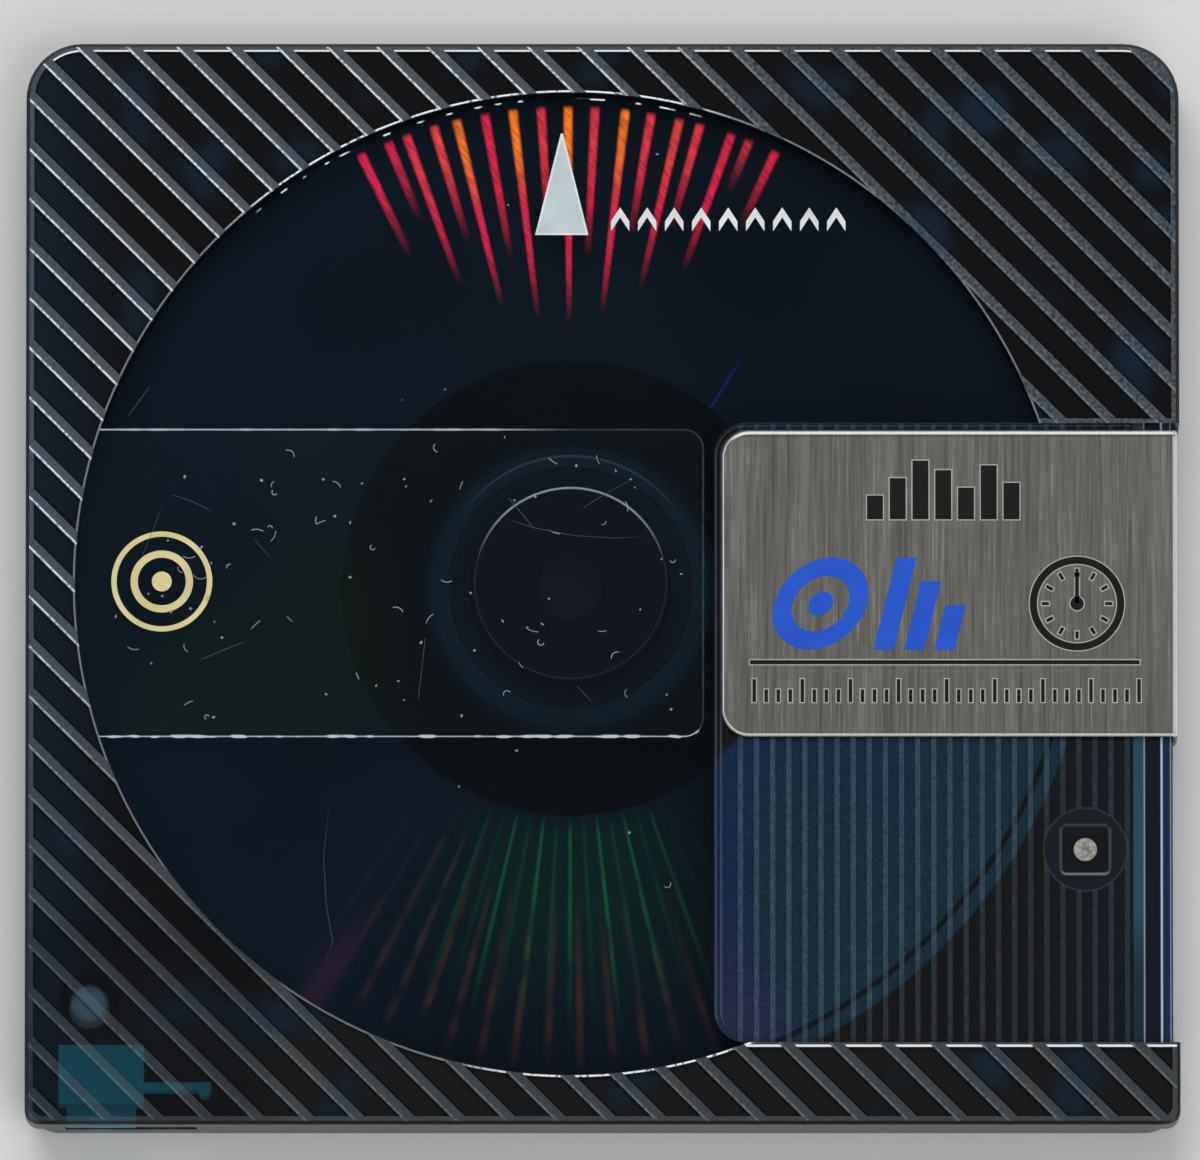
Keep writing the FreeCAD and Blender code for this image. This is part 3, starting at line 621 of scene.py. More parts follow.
    def gate_mark(self, paint: Paint, grain: Signal) -> list[Coat]:
        """Make the round gate mark: a dark disc with a square in it, and a pip, darker at its centre.

        Args:
            paint: the material's nodes.
            grain: a fine noise.

        Returns:
            Where each part lies, and its colour.
        """
        x, y, _ = paint.place
        away = GATE.away(x, y)
        square_gap = GATE_SQUARE.distance(x, y)
        inside = square_gap.step(0.05, -0.05)
        # Painted highlight: the square's outline is pale, brightest along its rear edge.
        square = abs(square_gap).step(0.13, 0.04) * (0.13 + 0.32 * y.step(-18.0, -18.15))
        pip_tone = 0.62 + 0.3 * away.step(0.1, 0.6) + (grain - 0.5) * 0.9
        return [
            (GATE.mask(x, y, 0.03), paint.mix(inside, display(14, 19, 27), display(7, 11, 18))),
            (square.at_least(away.line(GATE.reach, 0.1, 0.06) * 0.06), display(150, 162, 170)),
            (away.line(0.84, 0.14, 0.05), display(4, 5, 8)),
            (away.step(0.76, 0.68), paint.scaled(display(146, 146, 141), pip_tone)),
        ]

    def frosted(self, paint: Paint) -> bpy.types.NodeSocket:
        """Make the outer sides: fine frost, with a dark polished bevel at the top.

        Args:
            paint: the material's nodes.

        Returns:
            The shader.
        """
        x, y, z = paint.place
        fine = paint.noise(x * 2.5, y * 2.5, z * 2.5, 1.0)
        bevel = z.step(4.74, 4.8)
        frost = paint.scaled(display(100, 105, 105), 0.8 + fine * 0.4)
        base = paint.mix(bevel, frost, display(18, 20, 22))
        grain = paint.bump(fine, 0.02, 0.4)
        rough = 0.45 - bevel * 0.3
        front = paint.surface(Base_Color=base, Roughness=rough, Normal=grain, Specular_IOR_Level=0.35)
        return paint.layered(0.85, paint.clear(self.tint), front)

    def made(self) -> bpy.types.Material:
        """Make the material, whose zones each have a shader of their own.

        Returns:
            The material.
        """
        paint = Paint("smoke_upper")
        x, y, z = paint.place
        inwards = rim_gap(x, y, UPPER_REAR_CORNER)
        inside = paint.surface(Base_Color=display(26, 30, 36), Roughness=0.2, Specular_IOR_Level=0.35)
        inside = paint.layered(0.1, paint.clear(self.tint), inside)
        window = paint.radius.step(self.dome_edge - 0.04, self.dome_edge - 0.12)
        recess = RECESS.distance(x, y).step(0.04, 0.0)
        face = paint.layered(window, self.ribbed(paint, inwards), self.polished(paint))
        face = paint.layered(recess, face, self.recessed(paint))
        whole = paint.layered(z.step(4.2, 4.28), inside, face)
        side = inwards.step(0.24, 0.2)
        return paint.finished(paint.layered(side, whole, self.frosted(paint)))


@dataclass(frozen=True)
class SmokeLower:
    """Smoke-tinted plastic of the underside, finely frosted outside.

    Attributes:
        tint: what a pass through one surface does to the light behind.
        colour: the plastic's own colour.
    """

    tint: Colour = (0.8, 0.86, 0.9, 1.0)
    colour: Colour = display(30, 33, 38)

    def made(self) -> bpy.types.Material:
        """Make the material.

        Returns:
            The material.
        """
        paint = Paint("smoke_lower")
        x, y, z = paint.place
        side = rim_gap(x, y, LOWER_REAR_CORNER).step(0.12, 0.03)
        under = z.step(0.25, 0.2)
        fine = paint.noise(x * 3.0, y * 3.0, z * 3.0)
        cloud = paint.noise(x * 0.3, y * 0.3, z)
        base = paint.mix(side, self.colour, display(104, 108, 108))
        base = paint.scaled(base, 0.8 + 0.4 * cloud)
        solid = 0.55 + side * 0.35 + under * 0.2
        rough = 0.25 + side * 0.25 + under * 0.2 + fine * 0.1
        grain = paint.bump(fine, 0.02, 0.3)
        front = paint.surface(Base_Color=base, Roughness=rough, Normal=grain, Specular_IOR_Level=0.35)
        return paint.finished(paint.layered(solid, paint.clear(self.tint), front))


@dataclass(frozen=True)
class BrushedSteel:
    """Steel brushed along one direction, with a painted highlight and painted shade at its bevelled edge.

    Attributes:
        colour: the metal's colour in the middle of its brushing.
    """

    colour: Colour = display(93, 92, 89)

    def made(self) -> bpy.types.Material:
        """Make the material.

        Returns:
            The material.
        """
        paint = Paint("brushed_steel")
        x, y, z = paint.place
        hair = paint.noise(x * 8.0, y * 0.2, z * 3.0, 2.0)
        streak = paint.noise(x * 2.4, y * 0.06, z)
        band = paint.noise(x * 0.45, y * 0.03, z * 0.2)
        speck = paint.noise(x * 5.0, y * 5.0, z).step(0.76, 0.82)
        shade = hair * 1.15 + streak * 0.6 + band * 0.3 + hair.step(0.62, 0.74) * 0.35 + speck * 0.3
        edge_gap = -SHUTTER.distance(x, y)
        front = y.step(8.9, 9.3)
        top = z.step(4.7, 4.75)
        # Painted highlight on the bevelled edges; painted shade at the very rim and inside the front bevel.
        bright = edge_gap.step(0.2, 0.14).at_least(front * edge_gap.step(0.32, 0.26)) * top
        bright = bright.at_least(x.step(37.55, 37.65) * z.step(4.5, 4.6))
        edge_shade = (front * edge_gap.line(0.38, 0.06, 0.03) * 0.7).at_least(edge_gap.step(0.05, 0.0)) * top
        base = paint.coated(
            paint.scaled(self.colour, shade),
            (bright, display(240, 240, 237)),
            (edge_shade, display(16, 16, 17)),
        )
        rough = 0.34 + hair * 0.16 - bright * 0.12
        grain = paint.bump(hair, 0.006, 0.5)
        sheet = paint.surface(Base_Color=base, Roughness=rough, Normal=grain, Metallic=0.9)
        return paint.finished(sheet)


@dataclass(frozen=True)
class Glint:
    """One streak of coloured light on the film, along a radius.

    Attributes:
        angle: degrees from +Y towards +X.
        start: the radius where it fades in.
        heat: 0 for crimson all along, 1 for orange at its outer end.
    """

    angle: float
    start: float
    heat: float


RED_GLINTS = (
    Glint(-25.6, 25.0, 0.0),
    Glint(-22.1, 26.8, 0.0),
    Glint(-19.8, 22.2, 0.1),
    Glint(-16.4, 24.5, 0.2),
    Glint(-13.6, 20.0, 0.8),
    Glint(-10.2, 22.9, 0.0),
    Glint(-6.85, 18.9, 1.0),
    Glint(-3.5, 24.3, 0.1),
    Glint(-0.3, 18.4, 1.0),
    Glint(2.9, 22.7, 0.1),
    Glint(6.5, 19.2, 0.9),
    Glint(9.6, 24.3, 0.1),
    Glint(13.0, 21.2, 0.2),
    Glint(15.5, 25.2, 0.1),
    Glint(19.4, 23.0, 0.0),
    Glint(21.6, 28.6, 0.1),
    Glint(25.0, 26.9, 0.0),
)

# The table of glints: its degrees, its largest radius, the degrees beside an end glint, and an empty row.
GLINT_SPAN = 60.0
GLINT_REACH = 40.0
GLINT_MARGIN = 1.5
NO_GLINT = (0.0, 1.0, 0.0, 1.0)


def glint_rows() -> list[tuple[float, Colour]]:
    """Put the red glints into a table over their span of degrees.

    Returns:
        Where each row begins, midway between two glints, and the glint's angle, start and heat.
    """
    angles = np.array([glint.angle for glint in RED_GLINTS])
    begins = np.concatenate([[angles[0] - GLINT_MARGIN], (angles[:-1] + angles[1:]) / 2])
    rows = [(0.0, NO_GLINT)]
    for begin, glint in zip(begins, RED_GLINTS):
        centre = glint.angle / GLINT_SPAN + 0.5
        rows.append((begin / GLINT_SPAN + 0.5, (centre, glint.start / GLINT_REACH, glint.heat, 1.0)))
    rows.append(((RED_GLINTS[-1].angle + GLINT_MARGIN) / GLINT_SPAN + 0.5, NO_GLINT))
    return rows


@dataclass(frozen=True)
class Film:
    """Dark blue recording film with radial streaks of red light at the front and green at the rear.

    Attributes:
        colour: the film's colour.
        glow: the strength of its coloured light.
        green_pitch: degrees between two green spokes.
        brown_pitch: degrees between two brown spokes.
    """

    colour: Colour = display(10, 27, 42)
    glow: float = 1.6
    green_pitch: float = 3.25
    brown_pitch: float = 4.0

    def made(self) -> bpy.types.Material:
        """Make the material.

        Returns:
            The material.
        """
        paint = Paint("film")
        x, y, _ = paint.place
        cloud = paint.noise(x * 0.08, y * 0.08)
        toned = paint.mix(x.step(14.0, -22.0), display(12, 22, 32), self.colour)
        base = paint.scaled(toned, 0.5 + cloud)
        halves = [
            paint.surface(
                Base_Color=base,
                Roughness=0.3,
                Specular_IOR_Level=0.05,
                Emission_Color=light,
                Emission_Strength=self.glow,
            )
            for light in (self.rear_light(paint), self.front_light(paint))
        ]
        return paint.finished(paint.layered(y.step(-0.1, 0.1), *halves))

    def front_light(self, paint: Paint) -> bpy.types.NodeSocket:
        """Make the red and orange streaks, with a violet line to their right.

        Args:
            paint: the material's nodes.

        Returns:
            The light's colour.
        """
        x, y, _ = paint.place
        radius = paint.radius
        angle = x.turn(y)
        fleck = paint.noise(x * 5.0 + y * 4.0, y * 0.8 - x * 0.6)
        table_angle = angle + GLINT_SPAN / 2
        centre, start, heat = paint.looked_up(table_angle / GLINT_SPAN, glint_rows())
        spread = abs(table_angle - centre * GLINT_SPAN).step(0.72, 0.22)
        spread = spread * (radius - start * GLINT_REACH).step(-2.0, 3.4) * radius.step(30.5, 30.1)
        red = paint.mix(radius.step(24.0, 28.5) * heat, display(214, 30, 62), display(248, 118, 18))
        red = paint.scaled(red, spread * (0.25 + fleck * 1.3))
        along = (x - 8.8) * 0.86 + (y - 11.4) * -0.52
        violet = along.line(0.0, 0.1, 0.1) * y.step(9.8, 10.6) * y.step(15.2, 13.0)
        return paint.mix(violet * 0.8, red, display(30, 22, 110))

    def rear_light(self, paint: Paint) -> bpy.types.NodeSocket:
        """Make the thin green spokes, the dim brown ones beyond them and a violet one at their left.

        Every other green spoke is a weaker one.

        Args:
            paint: the material's nodes.

        Returns:
            The light's colour.
        """
        x, y, _ = paint.place
        radius = paint.radius
        angle = x.turn(-y)
        uneven = paint.noise(angle * 0.4, radius * 0.6)
        strong = abs((angle / (2 * self.green_pitch)).fraction() - 0.5).step(0.15, 0.45)
        spoke = abs((angle / self.green_pitch + 0.5 + uneven * 0.05).fraction() - 0.5).step(0.17, 0.02)
        spoke = spoke * (0.4 + strong * 0.7)
        fan = abs(angle).step(31.0, 6.0)
        green = (spoke * uneven.step(0.0, 0.6) * 0.85 + 0.13) * fan
        green = green * radius.step(13.9, 16.0) * radius.step(29.0, 19.0)
        brown_spoke = abs((angle / self.brown_pitch + 0.2).fraction() - 0.5).step(0.2, 0.02)
        brown_spoke = brown_spoke * radius.step(30.9, 27.5)
        brown_start = (radius - angle * 0.15).step(17.0, 26.0)
        brown_fan = abs(angle + 4.0).step(38.0, 14.0)
        brown = brown_spoke * uneven.step(0.15, 0.7) * brown_fan * brown_start
        violet = abs(angle + 32.0).step(2.6, 0.2) * radius.step(22.0, 29.0)
        rear = paint.mix(violet, paint.scaled(display(72, 38, 26), brown * 0.42), display(34, 8, 26))
        return paint.mix(green, rear, display(11, 68, 35))


@dataclass(frozen=True)
class ClearDisc:
    """Clear disc plastic, dark between hub and film, with a pale blue ring of painted light over the hub
    opening.

    Attributes:
        colour: the colour of the dark ring.
        hub_opening_light: the colour over the hub opening.
    """

    colour: Colour = display(11, 13, 16)
    hub_opening_light: Colour = display(20, 47, 61)

    def made(self) -> bpy.types.Material:
        """Make the material.

        Returns:
            The material.
        """
        paint = Paint("clear_disc")
        x, y, z = paint.place
        ring = paint.radius.step(6.8, 7.8) * paint.radius.step(9.4, 8.4)
        base = paint.mix(ring, self.colour, self.hub_opening_light)
        base = paint.scaled(base, 0.85 + 0.3 * paint.noise(x * 0.3, y * 0.3, z))
        surface = paint.surface(Base_Color=base, Roughness=0.2 + ring * 0.1, Specular_IOR_Level=0.05)
        return paint.finished(surface)


@dataclass(frozen=True)
class PressedSteel:
    """Dull pressed steel of the clamping plate, seen through the smoke.

    Attributes:
        colour: the metal's colour.
    """

    colour: Colour = display(16, 26, 34)

    def made(self) -> bpy.types.Material:
        """Make the material.

        Returns:
            The material.
        """
        paint = Paint("pressed_steel")
        x, _, z = paint.place
        turned = paint.noise(paint.radius * 6.0, x * 0.1, z)
        rim = paint.radius.step(7.2, 7.45)
        base = paint.scaled(self.colour, 0.75 + turned * 0.4 + rim * 0.5)
        rough = 0.4 + turned * 0.2
        surface = paint.surface(Base_Color=base, Roughness=rough, Metallic=0.3, Specular_IOR_Level=0.05)
        return paint.finished(surface)


@dataclass(frozen=True)
class Moulded:
    """Plain moulded plastic with a fine grain.

    Attributes:
        name: the material's name.
        colour: its colour.
        rough: its roughness.
        gloss: how much light it mirrors.
        glow: how much light it gives off by itself, as bright plastic in a dark place seems to.
    """

    name: str
    colour: Colour
    rough: float = 0.45
    gloss: float = 0.35
    glow: float = 0.0

    def made(self) -> bpy.types.Material:
        """Make the material.

        Returns:
            The material.
        """
        paint = Paint(self.name)
        x, y, z = paint.place
        grain = paint.noise(x * 4.0, y * 4.0, z * 4.0)
        cloud = paint.noise(x * 0.5, y * 0.5, z * 0.5)
        base = paint.scaled(self.colour, 0.85 + cloud * 0.3)
        surface = paint.surface(
            Base_Color=base,
            Roughness=self.rough + grain * 0.1,
            Normal=paint.bump(grain, 0.02, 0.3),
            Specular_IOR_Level=self.gloss,
            Emission_Color=base,
            Emission_Strength=self.glow,
        )
        return paint.finished(surface)


class Ink(Enum):
    """Colours of the printed marks."""

    PALE = display(176, 188, 192)
    WHITE = display(205, 209, 210)
    GOLD = display(200, 189, 138)
    BLACK = display(20, 20, 19)
    BLUE = display(34, 80, 188)
    HALO = display(158, 156, 150)
    DUST = display(128, 134, 138)
    SCRATCH = display(62, 72, 82)

    def made(self) -> bpy.types.Material:
        """The print's material, a little uneven."""
        return Moulded("ink_" + self.name.lower(), self.value, 0.6, 0.1).made()


def bands(
    left: np.ndarray, right: np.ndarray, low: np.ndarray | float, high: np.ndarray | float, closed: bool
) -> tuple[np.ndarray, np.ndarray]:
    """Strips of rectangular section, each carried along its own stations.

    The section at a station is left-low, left-high, right-high, right-low. Each side of it is joined to the
    same side at the next station, and an open strip gets a face at both ends.

    Args:
        left: the left-hand edge, as strips by stations by two coordinates.
        right: the right-hand edge in the same form.
        low: the height of the strips' undersides.
        high: the height of their tops.
        closed: whether each strip runs round into its start.

    Returns:
        The points and the four-sided faces.
    """
    count = left.shape[:2]
    foot = np.broadcast_to(np.asarray(low, float), count)[..., None]
    head = np.broadcast_to(np.asarray(high, float), count)[..., None]
    corners = [(left, foot), (left, head), (right, head), (right, foot)]
    section = np.stack([np.concatenate(corner, axis=2) for corner in corners], axis=2)
    here = np.arange(section.size // 3).reshape(*count, 4)
    ahead = np.roll(here, -1, axis=1)
    faces = np.stack([here, np.roll(here, -1, axis=2), np.roll(ahead, -1, axis=2), ahead], axis=-1)
    if closed:
        return section.reshape(-1, 3), faces.reshape(-1, 4)
    ends = np.concatenate([here[:, 0, ::-1], here[:, -1]])
    return section.reshape(-1, 3), np.concatenate([faces[:, :-1].reshape(-1, 4), ends])


class Marks:
    """Thin flat marks on one face, gathered into one piece."""

    def __init__(self, name: str, base: float, grow: float = 0.0) -> None:
        """Start an empty piece.

        Args:
            name: the piece's name.
            base: the height of the marks' undersides.
            grow: how far the edges of bars, rings and spokes move outwards.
        """
        self.name = name
        self.base = base
        self.top = base + PRINT_THICKNESS
        self.grow = grow
        self.points: list[np.ndarray] = []
        self.faces: list[np.ndarray] = []
        self.total = 0

    def strips(self, left: np.ndarray, right: np.ndarray, closed: bool = False) -> None:
        """Add strips between two edges.

        Args:
            left: the left-hand edge, as strips by stations by two coordinates.
            right: the right-hand edge in the same form.
            closed: whether each strip runs round into its start.
        """
        points, faces = bands(left, right, self.base, self.top, closed)
        self.points.append(points)
        self.faces.append(faces + self.total)
        self.total += len(points)

    def bar(self, across: float, along: float, width: float, height: float, slant: float = 0.0) -> None:
        """Add a bar.

        Args:
            across, along: its lower left corner.
            width, height: its size.
            slant: how far its top is moved to the right.
        """
        left = across - self.grow
        edge = np.array([[(left, along - self.grow), (left + slant, along + height + self.grow)]])
        self.strips(edge, edge + np.array([width + 2 * self.grow, 0.0]))

    def ring(self, across: float, along: float, outer: float, inner: float, slant: float = 0.0) -> None:
        """Add a ring.

        Args:
            across, along: its middle.
            outer, inner: its two radii.
            slant: how far it leans to the right for each unit of height.
        """
        angle = np.linspace(0, 2 * np.pi, RING_CORNERS, endpoint=False)
        unit = np.stack([np.cos(angle) + slant * np.sin(angle), np.sin(angle)], axis=1)[None]
        middle = np.array([across, along])
        hole = max(inner - self.grow, SMALLEST_HOLE)
        self.strips(middle + hole * unit, middle + (outer + self.grow) * unit, closed=True)

    def spoke(
        self, across: float, along: float, angle: float, inner: float, outer: float, width: float
    ) -> None:
        """Add a straight stroke along a radius.

        Args:
            across, along: the middle that it points away from.
            angle: its direction, in radians from +Y towards +X.
            inner, outer: the radii of its ends.
            width: its width.
        """
        toward = np.array([math.sin(angle), math.cos(angle)])
        beside = np.array([-toward[1], toward[0]]) * (width / 2 + self.grow)
        radii = np.array([[max(inner - self.grow, 0.0)], [outer + self.grow]])
        ends = np.array([across, along]) + toward * radii
        self.strips((ends + beside)[None], (ends - beside)[None])

    def chevron(self, across: float, along: float, width: float, height: float, stroke: float) -> None:
        """Add a chevron that points to the front, given by the middle of its foot."""
        lower = np.array([(-width / 2, 0.0), (0.0, height - stroke), (width / 2, 0.0)])
        self.strips((lower + (across, along + stroke))[None], (lower + (across, along))[None])

    def build(self, ink: Ink, body: str) -> None:
        """Make the piece, which rides on a body."""
        solid_piece(self.name, np.concatenate(self.points), np.concatenate(self.faces), ink, body)


def solid_piece(name: str, points: np.ndarray, faces: np.ndarray, ink: Ink, body: str) -> None:
    """Make a printed piece.

    Args:
        name: the piece's name.
        points: its points in millimetres.
        faces: its faces, as numbers of points.
        ink: its colour.
        body: the body it rides on.
    """
    mesh = bpy.data.meshes.new(name)
    mesh.from_pydata((points * MILLIMETRE).tolist(), [], faces.tolist())
    mesh.materials.append(ink.made())
    piece = bpy.data.objects.new(name, mesh)
    bpy.context.scene.collection.objects.link(piece)
    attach(piece, body)
    log.info("%s on the %s", name, body)


@dataclass(frozen=True)
class BarRow:
    """A row of bars on one foot line.

    Attributes:
        across, along: the first bar's lower left corner.
        pitch: the distance between two bars.
        width: the width of each.
        heights: their heights.
        lean: how far they lean to the right for each unit of height.
    """

    across: float
    along: float
    pitch: float
    width: float
    heights: tuple[float, ...]
    lean: float = 0.0

    def add_to(self, marks: Marks) -> None:
        """Add the bars to a piece."""
        for number, height in enumerate(self.heights):
            marks.bar(self.across + self.pitch * number, self.along, self.width, height, self.lean * height)


@dataclass(frozen=True)
class RingSign:
    """Rings round one middle.

    Attributes:
        across, along: their middle.
        radii: outer and inner radius of each.
        lean: how far they lean to the right for each unit of height.
    """

    across: float
    along: float
    radii: tuple[tuple[float, float], ...]
    lean: float = 0.0

    def add_to(self, marks: Marks) -> None:
        """Add the rings to a piece."""
        for outer, inner in self.radii:
            marks.ring(self.across, self.along, outer, inner, self.lean)


def face_height(points: np.ndarray) -> np.ndarray:
    """Find the height of the label face, which may be that of the dish, the label step or the rest.

    Args:
        points: places on it, with across and along in the last axis.

    Returns:
        The height at each.
    """
    away = np.hypot(points[..., 0], points[..., 1])
    step = (np.abs(points[..., 1]) < LABEL_STEP.front - 0.05) & (points[..., 0] < LABEL_STEP.right - 0.08)
    step &= away < DOME_RADIUS
    return np.where(away < DISH_RADIUS, DISH_FLOOR, np.where(step, LABEL_STEP_FLOOR, LABEL_FACE))


@dataclass(frozen=True)
class DustField:
    """Where dust lies: over the window, most of it on the label step, and none where the shutter is.

    Attributes:
        reach: the radius of its round part.
        label_low, label_high: lower left and upper right corner of its label part.
        label_share: the share that is put on the label part.
        shutter_left, shutter_front: no dust is both right of the first and behind the second.
    """

    reach: float = 29.0
    label_low: tuple[float, float] = (-28.0, -8.6)
    label_high: tuple[float, float] = (7.0, 8.6)
    label_share: float = 0.68
    shutter_left: float = 7.0
    shutter_front: float = 11.5

    def places(self, random: np.random.Generator, count: int) -> np.ndarray:
        """Draw places evenly over the round part and over the label part.

        Args:
            random: the source of the draws.
            count: how many are drawn, before those at the shutter are left out.

        Returns:
            The places, as rows of across and along.
        """
        angle = random.uniform(0, 2 * np.pi, count)
        away = self.reach * np.sqrt(random.uniform(0, 1, count))
        places = np.stack([away * np.cos(angle), away * np.sin(angle)], axis=1)
        on_label = random.uniform(0, 1, count) < self.label_share
        places[on_label] = random.uniform(self.label_low, self.label_high, (on_label.sum(), 2))
        return places[(places[:, 0] < self.shutter_left) | (places[:, 1] > self.shutter_front)]


@dataclass(frozen=True)
class Litter:
    """One kind of dust or wear on the label face, made of thin bent strips.

    Attributes:
        name: the piece's name.
        count: how many strips are drawn.
        stations: how many points each has.
        length: the least and the largest length.
        width: the least and the largest width.
        bend: how far a strip turns, in radians.
        ink: its colour.
    """

    name: str
    count: int
    stations: int
    length: tuple[float, float]
    width: tuple[float, float]
    bend: float
    ink: Ink

    def build(self, field: DustField, random: np.random.Generator) -> None:
        """Lay the strips on the label face.

        A strip runs along an arc: its points are the start plus steps of equal length, whose direction turns
        by the same angle from each to the next. A speck is one short step, and a scratch is nearly straight.

        Args:
            field: where they lie.
            random: the source of the draws.
        """
        start = field.places(random, self.count)
        each = (len(start), 1)
        turned = np.linspace(0, 1, self.stations)
        heading = random.uniform(0, 2 * np.pi, each) + turned * random.normal(0, self.bend, each)
        stride = random.uniform(*self.length, each) / (self.stations - 1)
        steps = np.stack([np.cos(heading), np.sin(heading)], axis=2) * stride[..., None]
        path = start[:, None] + np.cumsum(steps, axis=1)
        half = random.uniform(*self.width, (len(start), 1, 1)) / 2
        aside = np.stack([-np.sin(heading), np.cos(heading)], axis=2) * half
        base = face_height(path).max(axis=1, keepdims=True)
        points, faces = bands(path + aside, path - aside, base, base + PRINT_THICKNESS, False)
        solid_piece(self.name, points, faces, self.ink, "cartridge")


@dataclass(frozen=True)
class LongScratch:
    """One long scratch on the label face, thin at both ends.

    Attributes:
        name: the piece's name.
        base: the height of the face there.
        path: its points, as across and along.
        ends: half its width at both ends.
        swell: what is added to that in its full parts.
        profile: the share of the swell at each point.
    """

    name: str
    base: float
    path: tuple[tuple[float, float], ...]
    ends: float = 0.0021
    swell: float = 0.0154
    profile: tuple[float, ...] = (0.0, 1.0, 0.8, 1.0, 0.0)

    def build(self) -> None:
        """Make the scratch as a strip round its path."""
        marks = Marks(self.name, self.base)
        middle = np.array([self.path])
        aside = (np.array([self.profile]) * self.swell + self.ends)[..., None]
        marks.strips(middle - aside, middle + aside)
        marks.build(Ink.SCRATCH, "cartridge")


def dress(node: str, finish: bpy.types.Material) -> None:
    """Give a node of the frame its finish.

    Args:
        node: the node's name.
        finish: its material.
    """
    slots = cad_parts[node].data.materials
    slots.clear()
    slots.append(finish)
    log.info("%s dressed with %s", node, finish.name)


@dataclass
class Housing:
    """The two shells, with what is printed on the label face and the wear and dust on it.

    Attributes:
        upper, lower: the finishes of the two shells.
        arrow_tip: across and along of the arrow's tip.
        arrow_blunt: half the tip's width.
        arrow_foot: the arrow's left and right ends, and their place along.
        arrow_border: how far its white border stands out.
        travel_row: first and last place across of the row of chevrons, and its place along.
        travel_count: how many chevrons there are.
        travel_chevron: width, height and stroke of each.
        disc_sign: the gold sign at the left end of the label step.
        long_scratches: the one at the rear left of the window and the one across the dish.
        dust_field: where dust and short scratches lie.
        litter: their kinds.
        seed: the seed of their places.
    """

    upper: SmokeUpper = SmokeUpper()
    lower: SmokeLower = SmokeLower()
    arrow_tip: tuple[float, float] = (-0.54, 27.9)
    arrow_blunt: float = 0.03
    arrow_foot: tuple[float, float, float] = (-2.04, 0.94, 22.05)
    arrow_border: float = 0.14
    travel_row: tuple[float, float, float] = (3.1, 16.6, 22.15)
    travel_count: int = 9
    travel_chevron: tuple[float, float, float] = (1.15, 1.5, 0.62)
    disc_sign: RingSign = RingSign(-25.5, 0.1, ((3.15, 2.82), (1.95, 1.5), (0.62, SMALLEST_HOLE)))
    long_scratches: tuple[LongScratch, ...] = (
        LongScratch(
            "rear_scratch",
            LABEL_FACE,
            ((-15.0, -13.7), (-15.4, -17.2), (-15.2, -20.4), (-14.8, -22.6), (-15.5, -24.4)),
        ),
        LongScratch(
            "dish_scratch",
            DISH_FLOOR,
            ((-4.1, 4.1), (-2.3, 3.5), (0.2, 3.0), (2.6, 2.85), (4.6, 2.9)),
        ),
    )
    dust_field: DustField = DustField()
    litter: tuple[Litter, ...] = (
        Litter("dust_specks", 64, 2, (0.1, 0.2), (0.08, 0.15), 0.5, Ink.DUST),
        Litter("dust_fibres", 44, 9, (0.4, 1.0), (0.04, 0.065), 2.2, Ink.DUST),
        Litter("scratches", 12, 6, (1.2, 4.0), (0.025, 0.045), 0.12, Ink.SCRATCH),
    )
    seed: int = 11

    def build(self) -> None:
        """Dress the shells and add the marks, the scratches and the dust."""
        dress("upper_shell", self.upper.made())
        dress("lower_shell", self.lower.made())
        self.arrow("arrow_border", self.arrow_border, LABEL_FACE, Ink.WHITE)
        self.arrow("arrow_fill", 0.0, LABEL_FACE + PRINT_THICKNESS / 2, Ink.PALE)
        self.chevrons()
        sign = Marks("disc_sign", LABEL_STEP_FLOOR)
        self.disc_sign.add_to(sign)
        sign.build(Ink.GOLD, "cartridge")
        for scratch in self.long_scratches:
            scratch.build()
        random = np.random.default_rng(self.seed)
        for kind in self.litter:
            kind.build(self.dust_field, random)

    def arrow(self, name: str, grow: float, base: float, ink: Ink) -> None:
        """Make a slim triangle that points to the front.

        Where its sides move outwards, its tip moves on by three times as much.

        Args:
            name: the piece's name.
            grow: how far its sides move outwards.
            base: the height of its underside.
            ink: its colour.
        """
        left, right, foot = self.arrow_foot
        across, along = self.arrow_tip
        blunt = self.arrow_blunt + grow / 4
        aside = grow * 1.25
        tip = along + grow * 3
        marks = Marks(name, base)
        marks.strips(
            np.array([[(left - aside, foot - grow), (across - blunt, tip)]]),
            np.array([[(right + aside, foot - grow), (across + blunt, tip)]]),
        )
        marks.build(ink, "cartridge")

    def chevrons(self) -> None:
        """Make the row of small chevrons beside the arrow."""
        first, last, along = self.travel_row
        marks = Marks("travel_chevrons", LABEL_FACE)
        for across in np.linspace(first, last, self.travel_count).tolist():
            marks.chevron(across, along, *self.travel_chevron)
        marks.build(Ink.WHITE, "cartridge")


